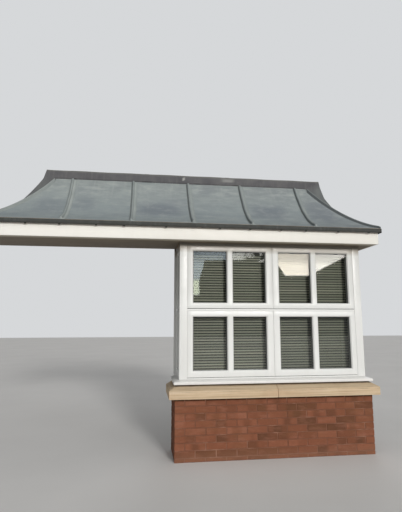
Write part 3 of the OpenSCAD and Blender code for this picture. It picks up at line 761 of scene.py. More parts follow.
# ---------------------------------------------------------------- masonry
def add_block(ms, u0, u1, z0, z1, d0, d1, tf, tone, rng, ch=3.0, rough=0.5, mat=0, step=40.0, skew=0.6):
    """One brick or block: a gridded outer face with worn arrises, straight sides and a back."""
    du, dz, dd = rng.uniform(-skew, skew), rng.uniform(-skew, skew) * 0.6, rng.uniform(-0.4, 0.9)
    nu = max(2, int(round((u1 - u0 - 2 * ch) / step)))
    nz = max(2, int(round((z1 - z0 - 2 * ch) / 22.0)))
    us = [u0, u0 + ch] + [u0 + ch + (u1 - u0 - 2 * ch) * i / nu for i in range(1, nu)] + [u1 - ch, u1]
    zs = [z0, z0 + ch] + [z0 + ch + (z1 - z0 - 2 * ch) * i / nz for i in range(1, nz)] + [z1 - ch, z1]
    R, C = len(zs), len(us)
    v, f, tones = [], [], []
    band = (0.0, -1.0, 0.0)
    if rng.random() < 0.42:
        band = (rng.choice((0.22, 0.5, 0.78)) * (u1 - u0) + u0, rng.uniform(0.16, 0.30) * (u1 - u0), rng.uniform(0.18, 0.45))
    for j, z in enumerate(zs):
        for i, u in enumerate(us):
            eu, ez = i in (0, C - 1), j in (0, R - 1)
            d = d0 + dd
            if eu or ez:
                d += ch * (1.0 if not (eu and ez) else 1.5) + rng.uniform(-0.25, 0.5)
            else:
                d += rng.uniform(-rough, rough)
            uu, zz = u + du, z + dz
            if eu and not ez:
                uu += rng.uniform(0, 0.8) * (1 if i == 0 else -1)
            if ez and not eu:
                zz += rng.uniform(0, 0.8) * (1 if j == 0 else -1)
            uu = min(max(uu, u0 - 0.5), u1 + 0.5)
            zz = min(max(zz, max(z0 - 0.5, 0.0)), z1 + 0.5)
            v.append(tf((uu, max(d, d0), zz)))
            tones.append(tone - (band[2] if abs(u - band[0]) < band[1] else 0.0))
    for j in range(R - 1):
        for i in range(C - 1):
            a = j * C + i
            f.append([a, a + 1, a + C + 1, a + C])
    ids = [i for i in range(C)] + [j * C + C - 1 for j in range(1, R)]
    ids += [(R - 1) * C + i for i in range(C - 2, -1, -1)] + [j * C for j in range(R - 2, 0, -1)]
    n = len(v)
    coords = []
    for k in ids:
        j, i = divmod(k, C)
        coords.append((us[i], zs[j]))
    cu, cz = (u0 + u1) / 2, (z0 + z1) / 2
    for (u, z) in coords:
        v.append(tf((u, d1 - 2.0, max(z, 0.0))))
    for (u, z) in coords:
        v.append(tf((u + (2.0 if u < cu else -2.0), d1, max(z + (2.0 if z < cz else -2.0), 0.0))))
    m = len(ids)
    for k in range(m):
        l = (k + 1) % m
        f.append([ids[k], ids[l], n + l, n + k])
        f.append([n + k, n + l, n + m + l, n + m + k])
    f.append([n + m + k for k in range(m)])
    tones += [tone] * (len(v) - len(tones))
    ms.add(v, f, mat, tone=tones)


def brick_tone(rng, course, index, side):
    t = min(1.0, max(0.0, rng.gauss(0.56, 0.17)))
    if rng.random() < 0.12:
        t = rng.uniform(0.05, 0.28)
    if side == "front" and course == 1:
        t = rng.uniform(0.10, 0.26) if 1 <= index <= 4 else rng.uniform(0.30, 0.40) if index in (0, 5) else max(t, 0.45)
    return t


def front_tf(p):
    return (p[0], -BASE_D + p[1], p[2])


def left_tf(p):     # u runs from the corner to the wall, depth runs inwards (+x)
    return (BX + p[1], -BASE_D + p[0], p[2])


def right_tf(p):
    return (BX + BASE_W - p[1], -BASE_D + p[0], p[2])


def build_bricks():
    rng = random.Random(7154)
    front, sides = Mesh(), Mesh()
    L, H, P = 215.0, 102.5, 225.0
    courses = [(0.0, 36.0)] + [(41 + 75 * (k - 1) + 5.0, 41 + 75 * k - 5.0) for k in range(1, 9)]
    for c, (z0, z1) in enumerate(courses):
        if c % 2:      # full stretchers from the corner
            for i in range(10):
                add_block(front, BX + P * i, BX + P * i + L, z0, z1, 0, BRICK_T, front_tf, brick_tone(rng, c, i, "front"), rng)
            for tf in (left_tf, right_tf):
                add_block(sides, H + 10, H + 10 + L, z0, z1, 0, BRICK_T, tf, brick_tone(rng, c, 1, "side"), rng)
                add_block(sides, H + 20 + L, BASE_D, z0, z1, 0, BRICK_T, tf, brick_tone(rng, c, 2, "side"), rng)
        else:          # the side walls' stretchers show their headers at the corners
            for tf in (left_tf, right_tf):
                add_block(front, 0, L, z0, z1, 0, BRICK_T, tf, brick_tone(rng, c, 0, "side"), rng)
                add_block(sides, P, P + L, z0, z1, 0, BRICK_T, tf, brick_tone(rng, c, 1, "side"), rng)
                add_block(sides, 2 * P, BASE_D, z0, z1, 0, BRICK_T, tf, brick_tone(rng, c, 2, "side"), rng)
            for i in range(9):
                u = BX + H + 10 + P * i
                add_block(front, u, u + L, z0, z1, 0, BRICK_T, front_tf, brick_tone(rng, c, i + 1, "front"), rng)
    r = 4.5
    v = [(BX + r, -BASE_D + r), (BX + BASE_W - r, -BASE_D + r), (BX + BASE_W - r, -BASE_D + BRICK_T), (BX + r, -BASE_D + BRICK_T)]
    v[2] = (BX + BASE_W - r, -BASE_D + BRICK_T - 1.5)
    v[3] = (BX + r, -BASE_D + BRICK_T - 1.5)
    add_prism(front, v, 0.0, BASE_H, 1, tone=0.5)
    for s in (0, 1):
        x0 = BX + r if s == 0 else BX + BASE_W - BRICK_T + 1.5
        x1 = BX + BRICK_T - 1.5 if s == 0 else BX + BASE_W - r
        add_prism(sides, [(x0, -BASE_D + BRICK_T - 1.5), (x1, -BASE_D + BRICK_T - 1.5), (x1, -2.0), (x0, -2.0)], 0.0, BASE_H, 1, tone=0.5)
    front.make("brickwork_front", [M_BRICK, M_MORTAR], "brick_front_wall", "brick")
    sides.make("brickwork_sides", [M_BRICK, M_MORTAR], "brick_side_walls", "brick")


def add_prism(ms, plan, z0, z1, mat=0, **values):
    n = len(plan)
    v = [(p[0], p[1], z0) for p in plan] + [(p[0], p[1], z1) for p in plan]
    f = [list(range(n))[::-1], [n + i for i in range(n)]]
    f += [[i, (i + 1) % n, n + (i + 1) % n, n + i] for i in range(n)]
    return ms.add(v, f, mat, **values)


IN_X0, IN_X1 = BX + BRICK_T + CAVITY, BX + BASE_W - BRICK_T - CAVITY
IN_Y = -BASE_D + BRICK_T + CAVITY


def build_blocks():
    rng = random.Random(31)
    front, sides = Mesh(), Mesh()
    top = WIN_Z - 1
    z = 0.0
    c = 0
    while z < top - 20:
        z1 = min(z + 215.0, top - 3)
        off = 0.0 if c % 2 else -225.0
        u = IN_X0 + off
        while u < IN_X1 - 5:
            a, b = max(u, IN_X0), min(u + 440.0, IN_X1)
            if b - a > 30:
                add_block(front, a, b, z, z1, 0, BLOCK_T, lambda p: (p[0], IN_Y + p[1], p[2]), rng.random(), rng, 2.0, 0.4, 0, 110)
            u += 450.0
        for s in (0, 1):
            def tf(p, s=s):
                x = IN_X0 + p[1] if s == 0 else IN_X1 - p[1]
                return (x, IN_Y + BLOCK_T + p[0], p[2])
            span = -IN_Y - BLOCK_T
            cut = 8.0 if c % 2 else 108.0
            if cut > 20:
                add_block(sides, 0, cut - 10, z, z1, 0, BLOCK_T, tf, rng.random(), rng, 2.0, 0.4, 0, 110)
                add_block(sides, cut, span, z, z1, 0, BLOCK_T, tf, rng.random(), rng, 2.0, 0.4, 0, 110)
            else:
                add_block(sides, cut, span, z, z1, 0, BLOCK_T, tf, rng.random(), rng, 2.0, 0.4, 0, 110)
        z += 225.0
        c += 1
    add_prism(front, [(IN_X0 + 3, IN_Y + 3), (IN_X1 - 3, IN_Y + 3), (IN_X1 - 3, IN_Y + BLOCK_T - 2), (IN_X0 + 3, IN_Y + BLOCK_T - 2)], 0, top, 1, tone=0.5)
    for s in (0, 1):
        x0 = IN_X0 + 3 if s == 0 else IN_X1 - BLOCK_T + 2
        x1 = IN_X0 + BLOCK_T - 2 if s == 0 else IN_X1 - 3
        add_prism(sides, [(x0, IN_Y + BLOCK_T - 1), (x1, IN_Y + BLOCK_T - 1), (x1, -2), (x0, -2)], 0, top, 1, tone=0.5)
    front.make("blockwork_front", [M_BLOCK, M_MORTAR], "inner_leaf_front", "block")
    sides.make("blockwork_sides", [M_BLOCK, M_MORTAR], "inner_leaf_sides", "block")


# ---------------------------------------------------------------- windows
def plate(ms, xs, zs, holes, outer, hole_layers, mat=0, tf=None):
    """A plate in front view: grid lines xs by zs with some cells as holes.
    outer: (inset, depth) layers of its outline from front to back;
    hole_layers: (outset, depth) layers of each hole from front to back."""
    nx, nz = len(xs), len(zs)
    V, F = [], []

    def grid_vertex(i, j, inset, depth):
        x = xs[i] + (inset if i == 0 else -inset if i == nx - 1 else 0)
        z = zs[j] + (inset if j == 0 else -inset if j == nz - 1 else 0)
        return (x, depth, z)

    def hole_corner(h, k, outset, depth):
        i0, j0 = h
        x0, x1, z0, z1 = xs[i0], xs[i0 + 1], zs[j0], zs[j0 + 1]
        pts = [(x0 - outset, z0 - outset), (x1 + outset, z0 - outset), (x1 + outset, z1 + outset), (x0 - outset, z1 + outset)]
        return (pts[k][0], depth, pts[k][1])

    def face_layer(inset, depth, outset):
        idx = {}
        hole_at = {}
        for h in holes:
            for k, (a, b) in enumerate(((0, 0), (1, 0), (1, 1), (0, 1))):
                hole_at[(h[0] + a, h[1] + b)] = (h, k)
        for j in range(nz):
            for i in range(nx):
                if (i, j) in hole_at:
                    h, k = hole_at[(i, j)]
                    p = hole_corner(h, k, outset, depth)
                else:
                    p = list(grid_vertex(i, j, inset, depth))
                    # keep the grid lines that run on from a hole's corner straight
                    for h in holes:
                        for k, (a, b) in enumerate(((0, 0), (1, 0), (1, 1), (0, 1))):
                            ci, cj = h[0] + a, h[1] + b
                            q = hole_corner(h, k, outset, depth)
                            if i == ci and j in (0, nz - 1):
                                p[0] = q[0]
                            if j == cj and i in (0, nx - 1):
                                p[2] = q[2]
                    p = tuple(p)
                idx[(i, j)] = len(V)
                V.append(p)
        return idx

    front = face_layer(outer[0][0], outer[0][1], hole_layers[0][0])
    back = face_layer(outer[-1][0], outer[-1][1], hole_layers[-1][0])
    for j in range(nz - 1):
        for i in range(nx - 1):
            if (i, j) in holes:
                continue
            F.append([front[(i, j)], front[(i + 1, j)], front[(i + 1, j + 1)], front[(i, j + 1)]])
            F.append([back[(i, j)], back[(i, j + 1)], back[(i + 1, j + 1)], back[(i + 1, j)]])
    rim = [(i, 0) for i in range(nx)] + [(nx - 1, j) for j in range(1, nz)]
    rim += [(i, nz - 1) for i in range(nx - 2, -1, -1)] + [(0, j) for j in range(nz - 2, 0, -1)]
    rings = [[front[k] for k in rim]]
    for (inset, depth) in outer[1:-1]:
        ring = []
        for (i, j) in rim:
            p = list(grid_vertex(i, j, inset, depth))
            ref = V[front[(i, j)]]
            if i not in (0, nx - 1):
                p[0] = ref[0]
            if j not in (0, nz - 1):
                p[2] = ref[2]
            ring.append(len(V))
            V.append(tuple(p))
        rings.append(ring)
    rings.append([back[k] for k in rim])
    for a, b in zip(rings, rings[1:]):
        for k in range(len(rim)):
            l = (k + 1) % len(rim)
            F.append([a[k], a[l], b[l], b[k]])
    for h in holes:
        rings = [[front[(h[0] + a, h[1] + b)] for a, b in ((0, 0), (1, 0), (1, 1), (0, 1))]]
        for (outset, depth) in hole_layers[1:-1]:
            ring = []
            for k in range(4):
                ring.append(len(V))
                V.append(hole_corner(h, k, outset, depth))
            rings.append(ring)
        rings.append([back[(h[0] + a, h[1] + b)] for a, b in ((0, 0), (1, 0), (1, 1), (0, 1))])
        for a, b in zip(rings, rings[1:]):
            for k in range(4):
                l = (k + 1) % 4
                F.append([a[k], a[l], b[l], b[k]])
    if tf:
        V = [tf(p) for p in V]
    ms.add(V, F, mat)


SASH_OUT = [(GAP + 2.0, 0.0), (GAP + 1.0, 0.4), (GAP + 0.4, 1.2), (GAP + 0.1, 2.6), (GAP + 0.1, 18.0), (47.0, 18.0), (47.0, 64.5), (48.5, 66.0)]
SASH_HOLE = [(12.0, 0.0), (10.9, 0.5), (9.4, 2.4), (3.2, 9.6), (0.9, 12.2), (0.0, 14.5), (0.0, 24.0), (12.0, 24.0), (12.0, 54.0), (0.0, 54.0), (0.0, 64.5), (1.5, 66.0)]


def add_sash(ms, x0, x1, z0, z1, panes, g, tf):
    xs = [x0] + [c for p in panes for c in p] + [x1]
    zs = [z0, g[0], g[1], z1]
    plate(ms, xs, zs, [(1 + 2 * i, 1) for i in range(len(panes))], SASH_OUT, SASH_HOLE, 0, tf)
    for p in panes:
        ring_bar(ms, p[0], p[1], g[0], g[1], 0.6, -3.2, 21.6, 26.9, 1, tf)     # outer gasket
        ring_bar(ms, p[0], p[1], g[0], g[1], 0.6, -3.2, 51.1, 56.0, 1, tf)     # inner gasket
        ring_bar(ms, p[0], p[1], g[0], g[1], 8.8, -4.4, 31.1, 46.9, 2, tf)     # spacer


def ring_bar(ms, x0, x1, z0, z1, out, inn, d0, d1, mat, tf):
    """A rectangular ring of rectangular section round a pane."""
    def rect(o, d):
        return [(x0 - o, d, z0 - o), (x1 + o, d, z0 - o), (x1 + o, d, z1 + o), (x0 - o, d, z1 + o)]
    c = 0.8
    rows = [rect(out, d0 + c), rect(out - c, d0), rect(inn + c, d0), rect(inn, d0 + c), rect(inn, d1 - c), rect(inn + c, d1), rect(out - c, d1), rect(out, d1 - c)]
    n = len(rows)
    V = [p for r in rows for p in r]
    F = []
    for k in range(n):
        kk = (k + 1) % n
        for i in range(4):
            j = (i + 1) % 4
            F.append([k * 4 + i, k * 4 + j, kk * 4 + j, kk * 4 + i])
    if tf:
        V = [tf(p) for p in V]
    ms.add(V, F, mat)


def add_fixed(ms, w, tf):
    xs = [0.0, 44.0, w - 44.0, w]
    zs = [0.0, LOW_Z0 + 43, LOW_Z1 - 43, TOP_Z0 + 43, TOP_Z1 - 43, WIN_H]
    plate(ms, xs, zs, [(1, 1), (1, 3)], [(0.0, 20.0), (0.0, 68.8), (1.2, 70.0)],
          [(0.0, 20.0), (0.0, 68.8), (1.2, 70.0)], 0, tf)
    for z0, z1 in ((0.0, LOW_Z0 - 3.0), (LOW_Z1 - 1.6, TOP_Z0 - 3.7), (TOP_Z1, WIN_H)):
        add_bar(ms, (0.0, 2.0, z0), (w, 20.0, z1), 1.6, 0, tf)
    # narrow lips that close the upright joints a little way in
    for z0, z1 in ((LOW_Z0 + 4.0, LOW_Z1 - 4.0), (TOP_Z0 + 4.0, TOP_Z1 - 4.0)):
        for x0 in (0.2, w - GAP + 0.3):
            add_bar(ms, (x0, 5.0, z0), (x0 + GAP - 0.5, 19.9, z1), 0.4, 0, tf)
    # black seal at the bottom of the joints
    for z0, z1 in ((LOW_Z0 - 3.6, LOW_Z0 + 2.2), (TOP_Z0 - 4.3, TOP_Z0 + 2.2)):
        add_bar(ms, (GAP, 15.0, z0), (w - GAP, 19.8, z1), 1.0, 1, tf)


def tf_fl(p):
    return (WX + POST + p[0], -WIN_D + p[1], WIN_Z + p[2])


def tf_fr(p):
    return (WX + WIN_W - POST - p[0], -WIN_D + p[1], WIN_Z + p[2])


def tf_sl(p):
    return (WX + p[1], -p[0], WIN_Z + p[2])


def tf_sr(p):
    return (WX + WIN_W - p[1], -SIDE_W + p[0], WIN_Z + p[2])


def build_windows():
    mats = [M_PVC, M_GASKET, M_SPACER]
    for side, tf in (("left", tf_fl), ("right", tf_fr)):
        ms = Mesh()
        add_fixed(ms, FRAME_W, tf)
        ms.make("frame_" + side, mats, "front_frame_" + side, "white_pvc", 32)
        for pos, z0, z1, g in (("bottom", LOW_Z0, LOW_Z1, LOW_G), ("top", TOP_Z0, TOP_Z1, TOP_G)):
            ms = Mesh()
            add_sash(ms, 0.0, FRAME_W, z0, z1, FRONT_PANES, g, tf)
            ms.make("sash_%s_%s" % (pos, side), mats, "%s_sash_%s" % (pos, side), "white_pvc", 32)
    for side, tf in (("left", tf_sl), ("right", tf_sr)):
        ms = Mesh()
        add_fixed(ms, SIDE_W, tf)
        for z0, z1, g in ((LOW_Z0, LOW_Z1, LOW_G), (TOP_Z0, TOP_Z1, TOP_G)):
            add_sash(ms, 0.0, SIDE_W, z0, z1, SIDE_PANES, g, tf)
        ms.make("cheek_window_" + side, mats, "side_window_" + side, "white_pvc", 32)


def build_glass():
    def sheets(ms, p, g, tf):
        for d in (27.0, 47.0):
            o = 9.0
            a, b = (p[0] - o, d, g[0] - o), (p[1] + o, d + 4.0, g[1] + o)
            c = 0.6
            rows = []
            for (ins, dd) in ((c, a[1]), (0, a[1] + c), (0, b[1] - c), (c, b[1])):
                rows.append([(a[0] + ins, dd, a[2] + ins), (b[0] - ins, dd, a[2] + ins), (b[0] - ins, dd, b[2] - ins), (a[0] + ins, dd, b[2] - ins)])
            V = [tf(q) for r in rows for q in r]
            F = [[0, 1, 2, 3][::-1], [12, 13, 14, 15]]
            for k in range(3):
                for i in range(4):
                    j = (i + 1) % 4
                    F.append([k * 4 + i, k * 4 + j, k * 4 + 4 + j, k * 4 + 4 + i])
            ms.add(V, F, 0)
    for side, tf in (("left", tf_fl), ("right", tf_fr)):
        ms = Mesh()
        for p in FRONT_PANES:
            sheets(ms, p, LOW_G, tf)
            sheets(ms, p, TOP_G, tf)
        ms.make("panes_front_" + side, [M_GLASS], "glass_front_" + side, "glass")
    ms = Mesh()
    for tf in (tf_sl, tf_sr):
        for p in SIDE_PANES:
            sheets(ms, p, LOW_G, tf)
            sheets(ms, p, TOP_G, tf)
    ms.make("panes_sides", [M_GLASS], "glass_sides", "glass")


def build_blinds():
    rng = random.Random(52)
    y0 = -WIN_D + POST + 7
    for side, xa, xb in (("left", WX + 92, BAY_X - 6), ("right", BAY_X + 6, WX + WIN_W - 92)):
        ms = Mesh()
        zt = HEAD_Z - 1
        yc = y0 + 20.0
        add_bar(ms, (xa, yc - 19.0, zt - 27.0), (xb, yc + 19.0, zt), 3.0, 1, None, 3, hid=0.0, tone=0.5)
        zb = WIN_Z + 34
        add_bar(ms, (xa + 2, yc - 11.0, zb), (xb - 2, yc + 11.0, zb + 12.0), 4.0, 1, None, 3, hid=0.0, tone=0.5)
        width, pitch, arc = 35.0, 30.0, 3.2
        n = int((zt - 30.0 - (zb + 16.0)) / pitch)
        lengths = 8
        for k in range(n + 1):
            zc = zb + 30.0 + pitch * k
            if zc + 17 > zt - 27.0:
                break
            tilt = math.radians(69.0 + rng.uniform(-1.6, 1.6))
            # painted shade and light: the blinds' tone is set by height, darkest on the lower right and the upper left
            painted_pane_tone = (0.40 if zc < 1560 else 0.10) if side == "left" else (0.02 if zc < 1560 else 0.22)
            tone = min(1.0, max(0.0, rng.gauss(painted_pane_tone, 0.26)))
            bow = rng.uniform(-0.8, 0.8)
            rings_t, hid = [], []
            prof, slat_shade_across = [], []
            m = 8
            for i in range(m + 1):
                t = i / m                      # 0 at the outer, lower edge
                a = (t - 0.5) * width
                crown = arc * (1 - (2 * t - 1) ** 2)
                yy = a * math.cos(tilt) - crown * math.sin(tilt)
                zz = a * math.sin(tilt) + crown * math.cos(tilt)
                prof.append((yy, zz))
                # the band past 40 % (lower slats) or 46 % (upper) of each slat's width gets painted shade
                slat_shade_across.append(min(1.0, max(0.0, (t - (0.40 if zc < 1560 else 0.46)) / 0.12)))
            ny, nz = -math.sin(tilt), math.cos(tilt)
            rings = []
            for j in range(lengths + 1):
                x = xa + 3 + (xb - xa - 6) * j / lengths
                sag = bow * math.sin(math.pi * j / lengths) - 0.35 * math.sin(2 * math.pi * j / lengths * 2)
                front = [(x, yc + p[0], zc + p[1] + sag) for p in prof]
                back = [(x, yc + p[0] - ny * 0.45, zc + p[1] - nz * 0.45 + sag) for p in prof][::-1]
                rings.append(front + back)
            vals = (slat_shade_across + slat_shade_across[::-1]) * (lengths + 1)
            add_sweep(ms, rings, 0, hid=vals, tone=tone)
        # ladder cords in front of and behind the slats
        for x in (xa + 120, (xa + xb) / 2, xb - 120):
            for dy in (-10.5, 10.5):
                ring = []
                for z in np.linspace(zb + 6, zt - 20, 30):
                    w = 0.5
                    ring.append([(x - w, yc + dy - w, z), (x + w, yc + dy - w, z), (x + w, yc + dy + w, z), (x - w, yc + dy + w, z)])
                add_sweep(ms, ring, 2, hid=0.0, tone=0.5)
        ms.make("slatted_blind_" + side, [M_SLAT, M_RAIL, M_CORD], "blind_" + side, "blind_slats", 40)


# ---------------------------------------------------------------- lead roof
def wave2(x, y, seed):
    r = random.Random(seed)
    out = 0.0
    for k in range(6):
        a = r.uniform(0, 2 * math.pi)
        wl = r.choice([160, 230, 310, 450, 620])
        out += math.sin((x * math.cos(a) + y * math.sin(a)) * 2 * math.pi / wl + r.uniform(0, 6.28)) / (1 + k * 0.4)
    return out / 2.2


def s_rows():
    rows = [0.0, 0.0022, 0.0075, 0.015, 0.03]
    rows += list(np.linspace(0.05, 0.985, 52)) + [1.0]
    return rows


def edge_drop(s, run):
    """The rounding of the sheet over the eave."""
    o = s * run
    if o >= 10:
        return 0.0
    t = 1 - o / 10.0
    return 5.4 * (1 - math.sqrt(max(0.0, 1 - t * t)))


# darker, bluer areas of patina on the front sheets: middle (x, s), half sizes, strength
PATINA = [(-1206, 0.60, 150, 0.17, 0.50), (-1190, 0.84, 190, 0.07, 0.40), (-1585, 0.46, 200, 0.22, 0.50), (-1960, 0.24, 230, 0.16, 0.40),
          (-330, 0.50, 285, 0.16, 0.95), (-120, 0.66, 160, 0.10, 0.55), (1010, 0.52, 235, 0.17, 0.95), (1690, 0.56, 190, 0.26, 0.80),
          (-900, 0.30, 300, 0.10, 0.30), (-320, 0.10, 330, 0.07, 0.25), (300, 0.40, 260, 0.12, 0.18), (1050, 0.20, 280, 0.08, 0.30),
          (358, 0.92, 320, 0.13, 0.36), (1063, 0.92, 350, 0.13, 0.34), (-318, 0.44, 330, 0.36, 0.24), (1063, 0.42, 350, 0.36, 0.22)]


def patina(x, s):
    out = 0.0
    for (px, ps, rx, rs, k) in PATINA:
        d = math.hypot((x - px) / rx, 0) ** 4 + abs((s - ps) / rs) ** 4
        out = max(out, k * math.exp(-d))
    return out


def build_lead():
    ms = Mesh()
    S = s_rows()
    bays = [(None, ROLL_X[0])] + list(zip(ROLL_X, ROLL_X[1:])) + [(ROLL_X[-1], None)]
    bay_tone = (0.30, 0.10, 0.45, 0.35, 0.60, 1.4)
    cols = 22
    for b, (xl, xr) in enumerate(bays):
        top, bot, foot, stain = [], [], [], []
        for s in S:
            hip = hip_x(s)
            x0 = -hip + 2 if xl is None else xl + 2
            x1 = hip - 2 if xr is None else xr - 2
            rt, rb, rf, rs = [], [], [], []
            y, z = -DECK_D * (1 - s), EAVE + rise(s)
            nrm = math.hypot(drise(s), DECK_D)
            ny, nz = -drise(s) / nrm, DECK_D / nrm
            for j in range(cols + 1):
                t = j / cols
                t = t * t * (3 - 2 * t) * 0.5 + t * 0.5
                x = x0 + (x1 - x0) * t
                inner = min(1.0, (x - x0) / 90.0, (x1 - x) / 90.0, s * 8.0, (1 - s) * 8.0)
                h = 2.6 * wave2(x, y * 1.4, 11 + b) * max(0.0, inner)
                h -= edge_drop(s, DECK_D)
                rt.append((x, max(y + ny * h * 0.6, -CAN_D + 0.2), z + nz * h))
                rb.append((x, y, z - LEAD_T - (1.0 if s == 0.0 else 0.0)))
                # foot: painted crease shade beside the rolls and along the rounded eave
                near = max(0.0, 1 - min(abs(x - x0), abs(x1 - x)) / 26.0)
                rf.append(max(near * 0.4, max(0.0, 1 - s * DECK_D / 22.0) * 0.8))
                rs.append(patina(x, s))
            top.append(rt)
            bot.append(rb)
            foot.append(rf)
            stain.append(rs)
        add_grid(ms, top, bot, 0, bay=bay_tone[b], foot=foot, stain=stain)
    for side, tone in ((-1, 0.55), (1, 0.85)):
        top, bot, foot = [], [], []
        for s in S:
            hy = -DECK_D * (1 - s)
            rt, rb, rf = [], [], []
            x, z = hip_x(s), EAVE + rise(s)
            run = -dhip(s)
            nrm = math.hypot(drise(s), run)
            nx, nz = drise(s) / nrm, run / nrm
            y0, y1 = min(hy + 2, -0.2), 0.0
            for j in range(15):
                t = j / 14
                y = y0 + (y1 - y0) * t
                inner = min(1.0, (y - y0) / 80.0, s * 8.0, (1 - s) * 6.0, (y1 - y) / 60.0)
                h = 2.2 * wave2(x * 1.2, y, 40 + side) * max(0.0, inner)
                h -= edge_drop(s, HIP_RUN)
                xx = min(x + nx * h * 0.6, CAN_W / 2 - 0.2)
                rt.append((side * xx, y, z + nz * h))
                rb.append((side * x, y, z - LEAD_T - (1.0 if s == 0.0 else 0.0)))
                # foot: painted crease shade along the hip
                rf.append(max(0.0, 1 - (y - y0) / 24.0))
            top.append(rt)
            bot.append(rb)
            foot.append(rf)
        add_grid(ms, top, bot, 0, bay=tone, foot=foot, stain=0.3)
    ms.make("lead_bays", [M_LEAD], "lead_sheets", "lead", 40)


def roll_profile():
    """(offset across, height) of a roll with its splash lap on the right, closed along the sheet."""
    pts = [(-24.0, -1.0), (-24.0, 1.2), (-21.0, 1.9), (-17.5, 3.2)]
    r, hc = 15.0, ROLL_H - 15.0
    for k in range(11):
        a = math.radians(195 - 210 * k / 10)
        pts.append((r * math.cos(a), hc + r * math.sin(a)))
    pts += [(17.5, 3.4), (21.0, 2.6), (30.0, 2.3), (47.0, 2.4), (50.0, 2.0), (50.6, 0.8), (50.6, -1.0)]
    return pts


def build_rolls():
    ms = Mesh()
    prof = roll_profile()
    rng = random.Random(5)
    S = [0.0, 0.004, 0.012, 0.022, 0.036, 0.055] + list(np.linspace(0.08, 0.989, 46))
    for k, xc in enumerate(ROLL_X):
        # painted shade and light, set roll by roll: dark on the left flank and crest, pale on the right flank and
        # splash lap
        depth = (0.32, 0.48, 0.58, 0.55, 0.52)[k]
        light = (0.75, 0.50, 0.25, 0.20, 0.10)[k]
        rings, dark, pale = [], [], []
        ph = rng.uniform(0, 6)
        for s in S:
            y0, z0 = -DECK_D * (1 - s), EAVE + rise(s)
            nrm = math.hypot(drise(s), DECK_D)
            ny, nz = -drise(s) / nrm, DECK_D / nrm
            o = s * DECK_D
            t = min(1.0, o / 26.0)
            fade = math.sqrt(max(0.0, 1 - (1 - t) ** 2))
            wob = 1.1 * math.sin(s * 21 + ph) + 0.8 * math.sin(s * 47 + ph * 2)
            drop = edge_drop(s, DECK_D)
            ring = []
            for (a, h) in prof:
                hh = h if h < 2.6 else 2.6 + (h - 2.6) * fade
                lapw = a + (1.3 * math.sin(s * 33 + ph) if a > 40 else 0.0)
                x = xc + lapw + wob * (0.6 if abs(a) < 22 else 0.2)
                y = y0 + ny * hh
                z = z0 + nz * hh - drop
                y = min(max(y, -CAN_D + 0.3), -7.0)
                ring.append((x, y, z))
            rings.append(ring)
            for (a, h) in prof:
                if a <= -16:
                    dk, pl = 0.25 * depth, 0.15 * light
                elif h > 4:
                    ang = a / 15.0
                    dk, pl = depth * (1.0 - max(0.0, min(1.0, (ang + 0.50) / 0.7))), light * max(0.0, ang)
                else:
                    dk, pl = (0.0, light) if a < 46 else (0.1, light * 0.5)
                dark.append(dk)
                pale.append(pl)
        add_sweep(ms, rings, 0, dark=dark, pale=pale)
    # hip rolls
    for side in (-1, 1):
        rings, dark = [], []
        for s in [0.006, 0.012, 0.024, 0.04, 0.06] + list(np.linspace(0.09, 0.972, 44)):
            cx, cy, cz = hip_x(s), -DECK_D * (1 - s), EAVE + rise(s)
            run = -dhip(s)
            L = math.hypot(run, DECK_D)
            lx, ly = DECK_D / L, run / L                # across the hip, towards the end slope
            t = min(1.0, s * L / 40.0)
            fade = math.sqrt(max(0.0, 1 - (1 - t) ** 2))
            ring = []
            r = 15.5

            def put(a, h, foot=False):
                x, y = cx + lx * a, cy + ly * a
                ground = min(front_height(y), end_height(x)) if foot else cz
                x = min(x, CAN_W / 2 - 0.4)
                y = min(max(y, -CAN_D + 0.4), -7.0)
                ring.append((side * x, y, ground + h))

            put(-24.0, -2.0, True)
            put(-24.0, 1.8, True)
            for k in range(13):
                a = math.radians(200 - 220 * k / 12)
                put(r * math.cos(a), (ROLL_H - r) * fade - 2 + r * math.sin(a) * (0.35 + 0.65 * fade))
            put(22.0, 1.8, True)
            put(22.0, -2.0, True)
            rings.append(ring)
            # painted shade on the right hip, painted light on the left hip
            if side < 0:
                dark += [0.15, 0.15] + [0.10] * 5 + [0.05] * 3 + [0.15] * 5 + [0.2, 0.2]
            else:
                dark += [0.50, 0.74] + [0.78, 0.76, 0.64, 0.48, 0.38] + [0.34] * 8 + [0.3, 0.3]
        add_sweep(ms, rings, 0, dark=dark, pale=0.5 if side < 0 else 0.0)
    ms.make("lead_rolls_dressed", [M_ROLL], "lead_rolls", "lead_rolled", 50)


